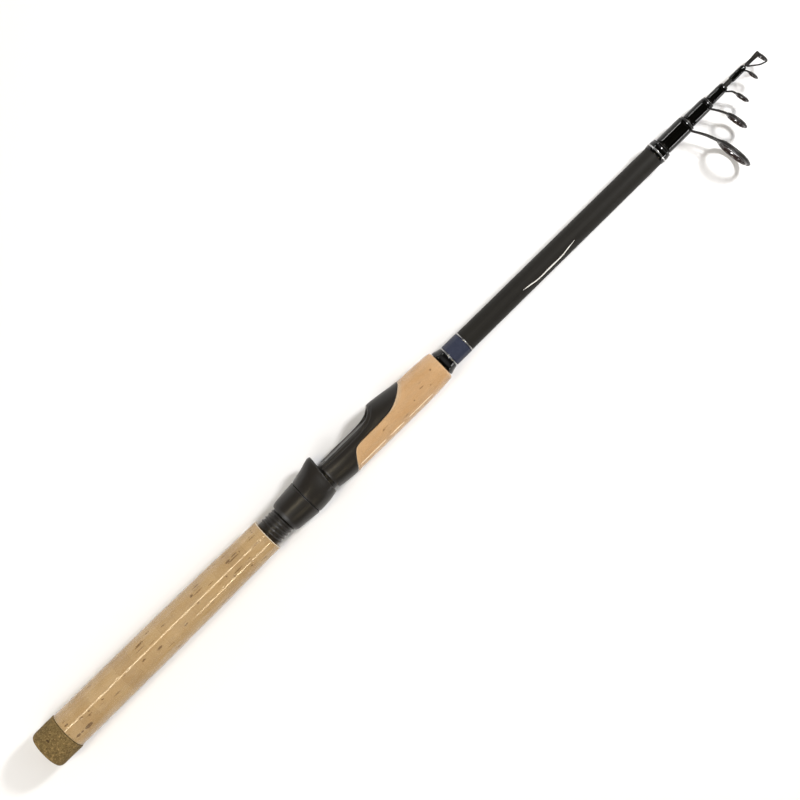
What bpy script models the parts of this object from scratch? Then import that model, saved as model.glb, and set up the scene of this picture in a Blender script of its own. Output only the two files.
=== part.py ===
"""A telescopic spinning rod of six sections, slid together and lying on its side.

Lengths in this file are millimetres, and become metres where a mesh is made. Every piece is drawn in the
rod's own frame: x runs along the rod's axis from the butt to the tip, y points away from the guides and
z up. The empty rod_axis then puts that frame where the middle of the object's base is the origin.
"""

import math
from collections import namedtuple

import bmesh
import bpy
from mathutils import Matrix, Vector

MM = 0.001
GAP = 0.3
TABLE_CLEARANCE = 0.03

# Driving dimensions
CLOSED_LENGTH = 650.0
BUTT_RADIUS = 14.05
GRIP_SIDES = 24
SEAT_ROLL = math.radians(9)
FILM = 0.15
FIT = 0.1

# Positions along the rod
PAD_START, PAD_END = 25.4, 33.4
PLUG_END, BUSH_END = 31.8, 48.0
REAR_GRIP_START, REAR_GRIP_END = 20.3, 201.8
BLANK_START, BLANK_MOUTH = 34.3, 561.0
THREAD_START, THREAD_END = 203.2, 236.2
NUT_START, NUT_END = 217.2, 236.6
HOOD_START, HOOD_END = 236.9, 256.9
SEAT_START, SEAT_END = 257.1, 332.6
SLEEVE_START, SLEEVE_END = 202.1, 335.0
FORE_GRIP_START, FORE_GRIP_END = 262.0, 359.6
CHECK_END = 366.2
BAND_END = 381.4

# Radii
PAD_RADIUS = 5.3
BLANK_RADIUS, BLANK_MOUTH_RADIUS, BLANK_WALL = 7.4, 7.15, 0.9
SEAT_BORE = 7.75
SLEEVE_RADIUS = 8.8
SMOOTH_BARREL_RADIUS = 9.2
THREAD_RADIUS = 9.5
HOOD_BORE = 9.75
FORE_GRIP_BORE = 9.1
HOOD_PEAK = 17.4

# The reel foot's bed, measured from the axis towards the bed's open side
BED_FLOOR, BED_RIM, BED_HALF_WIDTH = 8.35, 8.95, 6.6
POCKET_FLOOR, POCKET_HALF_WIDTH = 8.15, 6.2
SLEEVE_FLAT = 8.0
BED_END, POCKET_END = 299.6, 322.0

THREAD_PITCH = 3.0
CAP_THREAD_PITCH = 2.0
THREAD_STEPS = 12
SHARP_ANGLE = math.radians(35)

# A section's tube from its base to its mouth, the ring round its base, and the winding at its mouth
SECTION_FIELDS = "number base mouth base_radius mouth_radius wall ring_radius sides wrap wrap_radius"
Section = namedtuple("Section", SECTION_FIELDS)
SECTIONS = [
    Section(2, 34.0, 584.0, 5.60, 5.40, 0.65, 6.15, 24, (562.0, 581.6), 6.2),
    Section(3, 34.5, 603.2, 4.10, 3.95, 0.60, 4.65, 16, (584.8, 600.6), 4.8),
    Section(4, 35.0, 618.0, 2.75, 2.65, 0.45, 3.25, 16, (603.8, 615.5), 3.4),
    Section(5, 35.5, 636.2, 1.70, 1.60, 0.35, 2.12, 12, (623.5, 633.8), 2.25),
]
RING_LENGTH = 24.0
TIP = Section(6, 36.0, 645.5, 0.80, 0.60, 0.0, 1.17, 12, (637.2, 646.0), 1.35)

# A guide's foot on the section, its ring's centre, how far the ring leans, and what the ring is made of
Guide = namedtuple("Guide", "number foot foot_radius centre offset radius lean wire band insert width sides")
GUIDES = [
    Guide(1, (581.9, 583.5), 6.15, 592.0, 35.0, 13.5, 7, 0.75, 1.5, 1.25, 2.0, 24),
    Guide(2, (600.9, 602.7), 4.75, 608.0, 21.4, 8.2, 10, 0.65, 1.05, 0.9, 1.6, 20),
    Guide(3, (615.8, 617.5), 3.35, 621.0, 13.2, 5.25, 12, 0.55, 0.75, 0.65, 1.2, 16),
    Guide(4, (634.1, 635.7), 2.2, 636.2, 7.8, 4.05, 9, 0.45, 0.65, 0.5, 1.0, 16),
]
TIP_TOP = Guide(5, (637.2, 646.0), 1.35, 648.55, 3.1, 4.75, 9.5, 0.5, 0.75, 0.6, 1.2, 16)
TIP_TOP_LEG = 0.6
INSERT_DEPTH = 1.4
RING_TURN = 1.8

AXIS_HEIGHT = BUTT_RADIUS * math.cos(math.pi / GRIP_SIDES)
GUIDE_REACH = GUIDES[0].offset + GUIDES[0].radius * math.cos(math.radians(GUIDES[0].lean))
HOOD_REACH = HOOD_PEAK * math.cos(SEAT_ROLL)
AXIS_SIDE = (GUIDE_REACH - HOOD_REACH) / 2


# ---------------------------------------------------------------------------- scene and materials


def clear_scene():
    for obj in list(bpy.data.objects):
        bpy.data.objects.remove(obj, do_unlink=True)


def new_collection(name):
    made = bpy.data.collections.new(name)
    bpy.context.scene.collection.children.link(made)
    return made


def new_axis():
    """The empty on the rod's axis at the butt, which carries every piece."""
    made = bpy.data.objects.new("rod_axis", None)
    made.location = (-CLOSED_LENGTH / 2 * MM, AXIS_SIDE * MM, AXIS_HEIGHT * MM)
    PARTS.objects.link(made)
    return made


def material(name, colour, roughness, metallic=0.0, alpha=1.0):
    made = bpy.data.materials.new(name)
    made.use_nodes = True
    made.diffuse_color = (*colour, alpha)
    shader = made.node_tree.nodes["Principled BSDF"]
    shader.inputs["Base Color"].default_value = (*colour, 1.0)
    shader.inputs["Roughness"].default_value = roughness
    shader.inputs["Metallic"].default_value = metallic
    shader.inputs["Alpha"].default_value = alpha
    return made


# ---------------------------------------------------------------------------- modelling helpers


def add_object(name, data, look):
    """Puts a mesh on the rod's axis, as a part where it has a material and as a cutter where it has none."""
    obj = bpy.data.objects.new(name, data)
    obj.parent = AXIS
    if look is None:
        CUTTERS.objects.link(obj)
        obj.hide_render = True
        obj.display_type = "WIRE"
    else:
        PARTS.objects.link(obj)
        data.materials.append(look)
    return obj


def turned(name, outline, look, sides=GRIP_SIDES):
    """A solid turned about the x axis. The outline runs round its section, or starts and ends on the axis."""
    half_step = math.pi / sides
    mesh = bpy.data.meshes.new(name)
    points = [(x * MM, r * MM * math.cos(half_step), r * MM * math.sin(half_step)) for x, r in outline]
    count = len(outline)
    ends = [(i, (i + 1) % count) for i in range(count)]
    edges = [(a, b) for a, b in ends if outline[a][1] > 0 or outline[b][1] > 0]
    mesh.from_pydata(points, edges, [])
    obj = add_object(name, mesh, look)
    screw = obj.modifiers.new("Turn", "SCREW")
    screw.axis = "X"
    screw.steps = screw.render_steps = sides
    screw.use_merge_vertices = True
    screw.merge_threshold = 1e-6
    screw.use_smooth_shade = False
    screw.use_normal_flip = True
    return obj


def tube(name, outside, bore, look, sides=GRIP_SIDES):
    """A turned shell. outside and bore are each (x, radius) points from the butt end to the tip end."""
    return turned(name, list(outside) + list(reversed(bore)), look, sides)


def loft(name, rings, look):
    """A solid through rings of the same number of points, with flat ends."""
    made = bmesh.new()
    rows = [[made.verts.new(Vector(point) * MM) for point in ring] for ring in rings]
    count = len(rings[0])
    for row, following in zip(rows, rows[1:]):
        for i in range(count):
            j = (i + 1) % count
            made.faces.new((row[i], row[j], following[j], following[i]))
    made.faces.new(rows[0])
    made.faces.new(rows[-1])
    bmesh.ops.recalc_face_normals(made, faces=made.faces)
    mesh = bpy.data.meshes.new(name)
    made.to_mesh(mesh)
    made.free()
    return add_object(name, mesh, look)


def meshed(curve_object):
    """The mesh of a curve with its caps welded on. The curve is removed."""
    bpy.context.view_layer.update()
    graph = bpy.context.evaluated_depsgraph_get()
    mesh = bpy.data.meshes.new_from_object(curve_object.evaluated_get(graph))
    welded = bmesh.new()
    welded.from_mesh(mesh)
    bmesh.ops.remove_doubles(welded, verts=welded.verts, dist=1e-6)
    bmesh.ops.recalc_face_normals(welded, faces=welded.faces)
    welded.to_mesh(mesh)
    welded.free()
    curve = curve_object.data
    bpy.data.objects.remove(curve_object)
    bpy.data.curves.remove(curve)
    return mesh


def curve_through(points, dimensions):
    """A curve object through points given in millimetres, in straight stretches."""
    curve = bpy.data.curves.new("guide_line", "CURVE")
    curve.dimensions = dimensions
    spline = curve.splines.new("POLY")
    spline.points.add(len(points) - 1)
    for place, point in zip(spline.points, points):
        place.co = (*(Vector(point) * MM), 1.0)
    obj = bpy.data.objects.new("guide_line", curve)
    CUTTERS.objects.link(obj)
    return obj


def prism(name, outline, half_width):
    """A cutter: an outline in the reel bed's middle plane, extruded to both sides of it."""
    line = curve_through([(x, y, 0) for x, y in outline], "2D")
    line.data.splines[0].use_cyclic_u = True
    line.data.fill_mode = "BOTH"
    line.data.extrude = half_width * MM
    made = add_object(name, meshed(line), None)
    made.rotation_euler.x = SEAT_ROLL
    return made


def wire(name, points, radius):
    """A round wire through smoothed points, made to be joined to another piece."""
    line = curve_through(smoothed(points, 3), "3D")
    line.data.bevel_depth = radius * MM
    line.data.bevel_resolution = 1
    line.data.use_fill_caps = True
    return add_object(name, meshed(line), None)


def smoothed(points, steps):
    """Points on a Catmull-Rom curve through the given points."""
    places = [Vector(point) for point in points]
    padded = [2 * places[0] - places[1], *places, 2 * places[-1] - places[-2]]
    found = []
    for before, start, end, after in zip(padded, padded[1:], padded[2:], padded[3:]):
        for i in range(steps):
            t = i / steps
            bend = (2 * before - 5 * start + 4 * end - after) * t**2
            twist = (3 * start - before - 3 * end + after) * t**3
            found.append(tuple((2 * start + (end - before) * t + bend + twist) / 2))
    return found + [tuple(places[-1])]


def combine(target, others, operation):
    for other in others:
        boolean = target.modifiers.new(f"{operation} {other.name}", "BOOLEAN")
        boolean.operation = operation
        boolean.object = other
        boolean.solver = "EXACT"


def cut(target, *cutters):
    combine(target, cutters, "DIFFERENCE")


def join(target, *others):
    combine(target, others, "UNION")


def shade_smooth(objects):
    """Settles each piece's modifiers into its mesh, and shades its round faces smooth."""
    bpy.context.view_layer.update()
    graph = bpy.context.evaluated_depsgraph_get()
    settled = [bpy.data.meshes.new_from_object(obj.evaluated_get(graph)) for obj in objects]
    for obj, mesh in zip(objects, settled):
        obj.modifiers.clear()
        obj.data = mesh
        mesh.shade_smooth()
        mesh.set_sharp_from_angle(angle=SHARP_ANGLE)


# ---------------------------------------------------------------------------- butt cap


def make_butt_cap():
    """The cap unscrews to let the sections out for drying."""
    fillet, depth, hole = 3.6, 8.0, 9.7
    rounded = [(fillet * (1 - math.cos(a)), BUTT_RADIUS - fillet * (1 - math.sin(a))) for a in quarter(3)]
    seam = REAR_GRIP_START - GAP
    inside = [(seam, hole), (depth, hole), (depth, 0.0)]
    turned("butt_cap", [(0.0, 0.0), *rounded, (seam, BUTT_RADIUS), *inside], BURL)
    head = [(depth + GAP, 0.0), (depth + GAP, hole - GAP), (seam, hole - GAP)]
    cup = [(PLUG_END, PAD_RADIUS + GAP), (PAD_START - 0.4, PAD_RADIUS + GAP), (PAD_START - 0.4, 0.0)]
    turned("butt_plug", head + ridges(seam, PLUG_END, 6.35, 6.75) + cup, PLASTIC)
    pad = [(PAD_START, 0.0), (PAD_START, PAD_RADIUS), (PAD_END, PAD_RADIUS), (PAD_END, 0.0)]
    turned("buffer_pad", pad, RUBBER)


def make_butt_bush():
    """The threaded bush in the grip's end, which the plug screws into. It also centres the blank."""
    outside, ledge = 9.3, BLANK_START - GAP
    thread_bore = [(REAR_GRIP_START, 7.0), (ledge, 7.0)]
    socket = [(ledge, BLANK_RADIUS + FIT), (BUSH_END, BLANK_RADIUS + FIT)]
    tube("butt_bush", [(REAR_GRIP_START, outside), (BUSH_END, outside)], thread_bore + socket, PLASTIC)


def quarter(steps):
    return [math.pi / 2 * i / steps for i in range(steps + 1)]


def ridges(start, end, root, crest):
    """The outline of a thread, drawn as rings."""
    found = [(start, root)]
    for i in range(int((end - start) / CAP_THREAD_PITCH)):
        middle = start + (i + 0.5) * CAP_THREAD_PITCH
        flank = 0.2 * CAP_THREAD_PITCH
        found += [(middle - flank, root), (middle, crest), (middle + flank, root)]
    return found + [(end, root)]


# ---------------------------------------------------------------------------- handle


def make_blank():
    """The outermost section: one tube from the butt to its mouth. The grips and the seat are glued to it."""
    outside = [(BLANK_START, BLANK_RADIUS), (BAND_END, BLANK_RADIUS), (BLANK_MOUTH, BLANK_MOUTH_RADIUS)]
    bore = [(x, r - BLANK_WALL) for x, r in outside]
    tube("handle_blank", outside, bore, BLANK)


def make_rear_grip():
    shape = [(REAR_GRIP_START, 13.6), (70.0, 13.5), (115.0, 13.25), (150.0, 12.85), (180.0, 12.35)]
    shape.append((REAR_GRIP_END, 12.0))
    step, inner = BUSH_END + GAP, BLANK_RADIUS + FIT
    bore = [(REAR_GRIP_START, 9.4), (step, 9.4), (step, inner), (REAR_GRIP_END, inner)]
    tube("rear_grip", [(x, r - FILM - FIT) for x, r in shape], bore, CORK)
    tube("rear_grip_film", shape, [(x, r - FILM) for x, r in shape], CLEAR_FILM)


def make_fore_grip():
    """The cork is cut to the curve of the reel seat and lies round the seat's sleeve."""
    start, end, step = FORE_GRIP_START, FORE_GRIP_END, SLEEVE_END + GAP
    shape = [(start, 12.3), (338.0, 12.35), (350.0, 11.9), (356.5, 11.3), (end, 10.8)]
    bore = [(start, FORE_GRIP_BORE), (step, FORE_GRIP_BORE)]
    bore += [(step, BLANK_RADIUS + FIT), (end, BLANK_RADIUS + FIT)]
    seat_side = prism("seat_side", swoosh(GAP) + [(340.0, 30.0), (240.0, 30.0), (240.0, -30.0)], 30.0)
    cut(tube("fore_grip", [(x, r - FILM - FIT) for x, r in shape], bore, FORE_CORK), seat_side)
    cut(tube("fore_grip_film", shape, [(x, r - FILM) for x, r in shape], CLEAR_FILM), seat_side)


def make_trim():
    """The winding check in front of the fore grip, and the band of winding with a bright ring at each end."""
    inner = BLANK_RADIUS + FIT
    ramp = [(FORE_GRIP_END + GAP, 9.2), (361.5, 9.2), (364.0, 8.3), (CHECK_END, 7.9)]
    tube("winding_check", ramp, [(ramp[0][0], inner), (CHECK_END, inner)], GLOSS_BLACK)
    ring_length, radius = 0.8, 7.75
    rear, front = CHECK_END + GAP, BAND_END - ring_length
    bands = [("band_ring_rear", rear, rear + ring_length, SILVER)]
    bands.append(("band_winding", rear + ring_length + GAP, front - GAP, NAVY))
    bands.append(("band_ring_front", front, BAND_END, SILVER))
    for name, start, end, look in bands:
        tube(name, [(start, radius), (end, radius)], [(start, inner), (end, inner)], look)


def make_mouth_winding():
    """The winding that keeps the handle section's mouth from splitting, and the bright ring on it."""
    start, end, inner, radius = 553.2, 560.8, 7.27, 7.7
    outside = [(start, radius - 0.25), (start + 1.0, radius), (end - 1.0, radius), (end, radius - 0.2)]
    tube("mouth_winding", outside, [(start, inner), (end, inner)], GLOSS_BLACK)
    bright = [(start + 2.1, radius + 0.25), (start + 3.1, radius + 0.25)]
    tube("mouth_ring", bright, [(x, radius + 0.08) for x, _ in bright], SILVER)


# ---------------------------------------------------------------------------- reel seat


def bed_section(x, side_radius, height, count=32):
    """A round section whose half towards the reel foot is stretched to a height, rolled as the seat is."""
    points = []
    for i in range(count):
        angle = 2 * math.pi * (i + 0.5) / count
        reach = height if math.cos(angle) > 0 else side_radius
        points.append(rolled(x, reach * math.cos(angle), side_radius * math.sin(angle)))
    return points


def rolled(x, y, z):
    """A point of the seat's own frame, whose y points out of the reel bed, in the rod's frame."""
    return tuple(Matrix.Rotation(SEAT_ROLL, 3, "X") @ Vector((x, y, z)))


def pocket_section(x, floor, roof, roof_radius):
    """The section of a hood's pocket: a flat floor under a roof that follows the hood's outside."""
    across = [POCKET_HALF_WIDTH * (1 - i / 4) for i in range(9)]
    arch = [(roof * math.sqrt(1 - (z / roof_radius) ** 2), z) for z in across]
    section = [(floor, -POCKET_HALF_WIDTH), (floor, POCKET_HALF_WIDTH), *arch]
    return [rolled(x, y, z) for y, z in section]


def swoosh(clearance):
    """The curve in the bed's middle plane where the seat ends and the fore grip's cork begins."""
    through = [(271.0, -16.0, 0), (275.0, -8.3, 0), (281.3, 0.6, 0), (287.5, 2.6, 0)]
    through += [(305.0, 2.8, 0), (316.0, 4.0, 0), (326.0, 8.4, 0), (335.5, 16.0, 0)]
    line = [Vector(point[:2]) for point in smoothed(through, 3)]
    moved = []
    for i, point in enumerate(line):
        along = (line[min(i + 1, len(line) - 1)] - line[max(i - 1, 0)]).normalized()
        moved.append(tuple(point + clearance * Vector((along.y, -along.x))))
    return moved


def hood_lip():
    """The mouth of the fixed hood, rising from the bed's rims to the hood's peak."""
    rise = smoothed([(291.0, BED_RIM, 0), (298.0, 9.7, 0), (303.0, 12.0, 0), (306.6, 15.8, 0)], 3)
    return [(x, y) for x, y, _ in rise]


def thread_ridge():
    """A right-handed ridge wound on the sleeve, fading in and out over half a turn."""
    count = int((THREAD_END - THREAD_START) / THREAD_PITCH * THREAD_STEPS)
    root, flank = SLEEVE_RADIUS - 0.25, 0.4 * THREAD_PITCH
    rings = []
    for i in range(count + 1):
        angle = 2 * math.pi * i / THREAD_STEPS
        middle = THREAD_START + THREAD_PITCH * i / THREAD_STEPS
        fade = min(1.0, 2 * i / THREAD_STEPS, 2 * (count - i) / THREAD_STEPS)
        crest = root + 0.05 + fade * (THREAD_RADIUS - root - 0.05)
        profile = [(middle - flank, root), (middle, crest), (middle + flank, root)]
        rings.append([(x, r * math.cos(angle), r * math.sin(angle)) for x, r in profile])
    return loft("thread_ridge", rings, None)


def make_reel_seat():
    """The moulded seat: a threaded sleeve, the bed for the reel foot, and the fixed hood, in one piece."""
    body = [(SEAT_START, 10.3, 11.4), (259.0, 10.8, 11.4), (264.0, 11.4, 11.2), (272.0, 12.1, 11.0)]
    body += [(290.0, 12.2, 11.0), (296.0, 12.2, 12.4), (301.0, 12.2, 13.9), (306.5, 12.2, 15.5)]
    body += [(315.0, 12.2, 14.7), (325.0, 12.2, 13.2), (SEAT_END, 12.2, 12.3)]
    seat = loft("reel_seat", [bed_section(*station) for station in body], PLASTIC)
    roofs = ((BED_END - GAP, 14.1), (306.5, 14.1), (POCKET_END, 11.6))
    cut(
        seat,
        prism("fore_grip_side", [*swoosh(0), (345.0, 20.0), (345.0, -20.0)], 20.0),
        prism("above_lip", [(250.0, BED_RIM), *hood_lip(), (308.0, 25.0), (250.0, 25.0)], 20.0),
        prism("foot_bed", bed_block(250.0, BED_END, BED_FLOOR), BED_HALF_WIDTH),
        loft("hood_pocket", [pocket_section(x, POCKET_FLOOR, roof, 10.8) for x, roof in roofs], None),
        bore_cutter("seat_bore", SEAT_BORE + 0.15),
    )
    join(seat, seat_sleeve(), thread_ridge())


def seat_sleeve():
    """The sleeve that carries the whole seat. It is thinned under the reel foot's bed."""
    step, inset = 240.5, SEAT_START + 0.5
    outside = [(SLEEVE_START, SLEEVE_RADIUS), (step, SLEEVE_RADIUS), (step, SMOOTH_BARREL_RADIUS)]
    outside += [(inset, SMOOTH_BARREL_RADIUS), (inset, SLEEVE_RADIUS), (SLEEVE_END, SLEEVE_RADIUS)]
    sleeve = tube("seat_sleeve", outside, [(SLEEVE_START, SEAT_BORE), (SLEEVE_END, SEAT_BORE)], None)
    cut(sleeve, prism("sleeve_flat", bed_block(SEAT_START, POCKET_END + 2.0, SLEEVE_FLAT), 12.0))
    return sleeve


def bed_block(start, end, floor):
    """The outline of what is cut away above the bed."""
    return [(start, floor), (end, floor), (end, 12.0), (start, 12.0)]


def bore_cutter(name, radius):
    return turned(name, [(230.0, 0.0), (230.0, radius), (340.0, radius), (340.0, 0.0)], None)


def make_arbors():
    """Tape wound on the blank in two places to carry the seat."""
    inner, outer = BLANK_RADIUS + 0.06, SEAT_BORE - 0.06
    for name, start, end in (("arbor_rear", 206.0, 232.0), ("arbor_front", 300.0, 328.0)):
        tube(name, [(start, outer), (end, outer)], [(start, inner), (end, inner)], TAPE)


def make_moving_hood():
    """The hood that the nut pushes forward over the back of the reel foot."""
    body = [(HOOD_START, 12.95, 12.95), (241.0, 12.9, 13.4), (246.0, 12.5, 14.5), (250.0, 11.8, 15.7)]
    body += [(253.0, 11.0, 16.8), (255.3, 10.8, HOOD_PEAK), (HOOD_END, 10.8, 16.8)]
    hood = loft("moving_hood", [bed_section(*station) for station in body], PLASTIC)
    slant = [(253.2, -14.0), (255.7, 8.0), (HOOD_END, 18.0), (262.0, 18.0), (262.0, -14.0)]
    roofs = ((246.0, 12.9), (258.0, 16.0))
    cut(
        hood,
        prism("hood_slant", slant, 20.0),
        loft("moving_pocket", [pocket_section(x, HOOD_BORE - 3.0, roof, 9.8) for x, roof in roofs], None),
        bore_cutter("hood_bore", HOOD_BORE),
    )


def make_locking_nut():
    outside = [(NUT_START, 10.6), (NUT_START + 2.4, 11.7), (NUT_END - 0.4, 12.9), (NUT_END, 12.7)]
    tube("locking_nut", outside, [(NUT_START, HOOD_BORE), (NUT_END, HOOD_BORE)], PLASTIC)


# ---------------------------------------------------------------------------- telescopic sections


def make_section(section):
    """One inner section: its tube, the ring that wedges in the mouth outside it, and its end winding."""
    prefix = f"section_{section.number}"
    outside = [(section.base, section.base_radius), (section.mouth, section.mouth_radius)]
    bore = [(x, r - section.wall) for x, r in outside]
    tube(f"{prefix}_tube", outside, bore, BLANK, section.sides)
    make_base_ring(section)
    start, end = section.wrap
    inner = section.mouth_radius + FIT
    radius = section.wrap_radius
    shape = [(start, radius - 0.25), (start + 0.6, radius), (end - 1.0, radius), (end, radius - 0.1)]
    tube(f"{prefix}_winding", shape, [(start, inner), (end, inner)], GLOSS_BLACK, section.sides)


def make_base_ring(section):
    """The thickened base. It slides, and the tube turns in it."""
    name = f"section_{section.number}_base_ring"
    start, inner = section.base + 0.2, section.base_radius + 0.13
    ring = [(start, section.ring_radius), (start + RING_LENGTH, section.ring_radius)]
    tube(name, ring, [(x, inner) for x, _ in ring], BASE_RING, section.sides)


def make_end_ring(section):
    """The bright ring at the mouth of a section."""
    name = f"section_{section.number}_end_ring"
    start, inner = section.mouth - 0.2, section.mouth_radius + FIT
    ring = [(start, section.wrap_radius - 0.3), (start + 0.5, section.wrap_radius - 0.4)]
    tube(name, ring, [(x, inner) for x, _ in ring], SILVER, section.sides)


def make_tip():
    """The solid tip, which the tip-top is glued on."""
    make_base_ring(TIP)
    outline = [(TIP.base, 0.0), (TIP.base, TIP.base_radius), (TIP.mouth, TIP.mouth_radius), (TIP.mouth, 0.0)]
    turned("section_6_tip", outline, BLANK, TIP.sides)


# ---------------------------------------------------------------------------- guides


def ring_place(guide, unit):
    """Where a ring about the x axis at the origin goes: leaned, turned a little, moved out and hung."""
    centre = Matrix.Translation(Vector((guide.centre, -guide.offset, 0)) * unit)
    lean = Matrix.Rotation(math.radians(guide.lean), 4, "Z")
    turn = Matrix.Rotation(math.radians(-RING_TURN), 4, "Y")
    return hang(guide) @ centre @ lean @ turn


def hang(guide):
    """The turn about the rod that lets the largest ring rest on the table. The others stand straight out."""
    if guide is not GUIDES[0]:
        return Matrix.Identity(4)
    drop = AXIS_HEIGHT - guide.radius * math.cos(math.pi / guide.sides) - TABLE_CLEARANCE
    return Matrix.Rotation(math.asin(drop / guide.offset), 4, "X")


def guide_ring(name, guide, outer, thickness, width, look):
    """A ring of chamfered section, standing where the guide's ring stands."""
    inner, half = outer - thickness, width / 2
    edge = 0.3 * min(thickness, width)
    outside = [(-half, outer - edge), (-half + edge, outer), (half - edge, outer), (half, outer - edge)]
    bore = [(-half, inner + edge), (-half + edge, inner), (half - edge, inner), (half, inner + edge)]
    ring = tube(name, outside, bore, look, guide.sides)
    ring.matrix_local = ring_place(guide, MM)
    return ring


def leg_points(guide, side):
    """A leg from the foot to the ring: out of the foot's flank, then along the ring's rim for a little."""
    start_x = sum(guide.foot) / 2
    start = Vector((start_x, -guide.foot_radius * 0.93, side * guide.foot_radius * 0.25))
    rim = guide.radius - guide.band / 4
    place = ring_place(guide, 1.0)
    angles = (math.radians(28), math.radians(48))
    on_rim = [place @ Vector((0, rim * math.cos(a), side * rim * math.sin(a))) for a in angles]
    start = hang(guide) @ start
    return [tuple(point) for point in (start, start.lerp(on_rim[0], 0.55), *on_rim)]


def make_guide(guide, section):
    """A collar round the section's mouth, and a ring on two legs, with its ceramic insert."""
    name = f"guide_{guide.number}"
    start, end = guide.foot
    foot = [(start, guide.foot_radius), (end - 0.4, guide.foot_radius), (end, guide.foot_radius - 0.35)]
    bore = [(x, section.mouth_radius + FIT) for x in guide.foot]
    frame = tube(f"{name}_frame", foot, bore, GUIDE_METAL, section.sides)
    rim = guide_ring(f"{name}_rim", guide, guide.radius, guide.band, guide.width, None)
    legs = [wire(f"{name}_leg_{side}", leg_points(guide, side), guide.wire) for side in (-1, 1)]
    join(frame, rim, *legs)
    make_insert(guide, f"{name}_insert")


def make_insert(guide, name):
    outer = guide.radius - guide.band - 0.12
    guide_ring(name, guide, outer, guide.insert, guide.width * INSERT_DEPTH, CERAMIC)


def make_tip_top():
    """A short tube on the tip, a ring across its end, two legs and a brace under the ring."""
    start, end = TIP_TOP.foot
    inner, outer, bottom = TIP.mouth_radius + 0.12, TIP_TOP.foot_radius, end - GAP
    outside = [(start, outer), (end - 0.6, outer), (end, 0.9), (end, 0.0)]
    bore = [(bottom, 0.0), (bottom, inner), (start, inner)]
    frame = turned("tip_top_frame", outside + bore, GUIDE_METAL, TIP.sides)
    rim = guide_ring("tip_top_rim", TIP_TOP, TIP_TOP.radius, TIP_TOP.band, TIP_TOP.width, None)
    brace = [(637.8, -1.3, 0), (641.2, -3.8, 0), (644.2, -6.0, 0), (647.4, -7.2, 0), (649.0, -7.5, 0)]
    leg = [(640.5, 1.3), (644.5, 1.9), (648.2, 3.2)]
    sides = [[(x, 0, side * z) for x, z in leg] for side in (-1, 1)]
    legs = [wire("tip_top_leg", points, TIP_TOP_LEG) for points in sides]
    join(frame, rim, wire("tip_top_brace", brace, TIP_TOP.wire), *legs)
    make_insert(TIP_TOP, "tip_top_insert")


# ---------------------------------------------------------------------------- the rod

clear_scene()
PARTS = new_collection("spinning_rod")
CUTTERS = new_collection("cutters")
AXIS = new_axis()

BURL = material("burl_cork", (0.19, 0.14, 0.07), 0.75)
CORK = material("cork", (0.45, 0.30, 0.15), 0.7)
FORE_CORK = material("fore_cork", (0.58, 0.36, 0.17), 0.7)
CLEAR_FILM = material("clear_film", (0.9, 0.9, 0.88), 0.12, alpha=0.25)
PLASTIC = material("seat_plastic", (0.035, 0.033, 0.03), 0.45)
GLOSS_BLACK = material("gloss_winding", (0.004, 0.004, 0.004), 0.1)
BLANK = material("blank", (0.03, 0.027, 0.022), 0.6)
NAVY = material("navy_winding", (0.035, 0.045, 0.09), 0.35)
SILVER = material("silver_ring", (0.6, 0.6, 0.6), 0.3, metallic=1.0)
GUIDE_METAL = material("guide_metal", (0.03, 0.028, 0.026), 0.35, metallic=1.0)
CERAMIC = material("ring_ceramic", (0.02, 0.015, 0.014), 0.15)
RUBBER = material("rubber", (0.02, 0.02, 0.02), 0.85)
TAPE = material("arbor_tape", (0.6, 0.52, 0.36), 0.9)
BASE_RING = material("base_ring", (0.02, 0.02, 0.02), 0.5)

make_butt_cap()
make_butt_bush()
make_blank()
make_rear_grip()
make_arbors()
make_reel_seat()
make_moving_hood()
make_locking_nut()
make_fore_grip()
make_trim()
make_mouth_winding()
for section, guide in zip(SECTIONS, GUIDES):
    make_section(section)
    make_guide(guide, section)
for section in SECTIONS[:2]:
    make_end_ring(section)
make_tip()
make_tip_top()
shade_smooth([obj for obj in PARTS.objects if obj is not AXIS])
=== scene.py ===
"""The looks of a telescopic spinning rod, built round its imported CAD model.

Lengths are millimetres in the rod's own frame, as in the CAD: x runs along the rod's axis from the butt to
the tip, y points away from the guides and z up. Every mesh is made in that frame, and its object stands on
the rod's axis at the butt, so an Object texture coordinate times 1000 is a place in that frame too.
"""

import math
import random

import bmesh
import bpy
import numpy as np
from mathutils import Matrix, Vector


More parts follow.
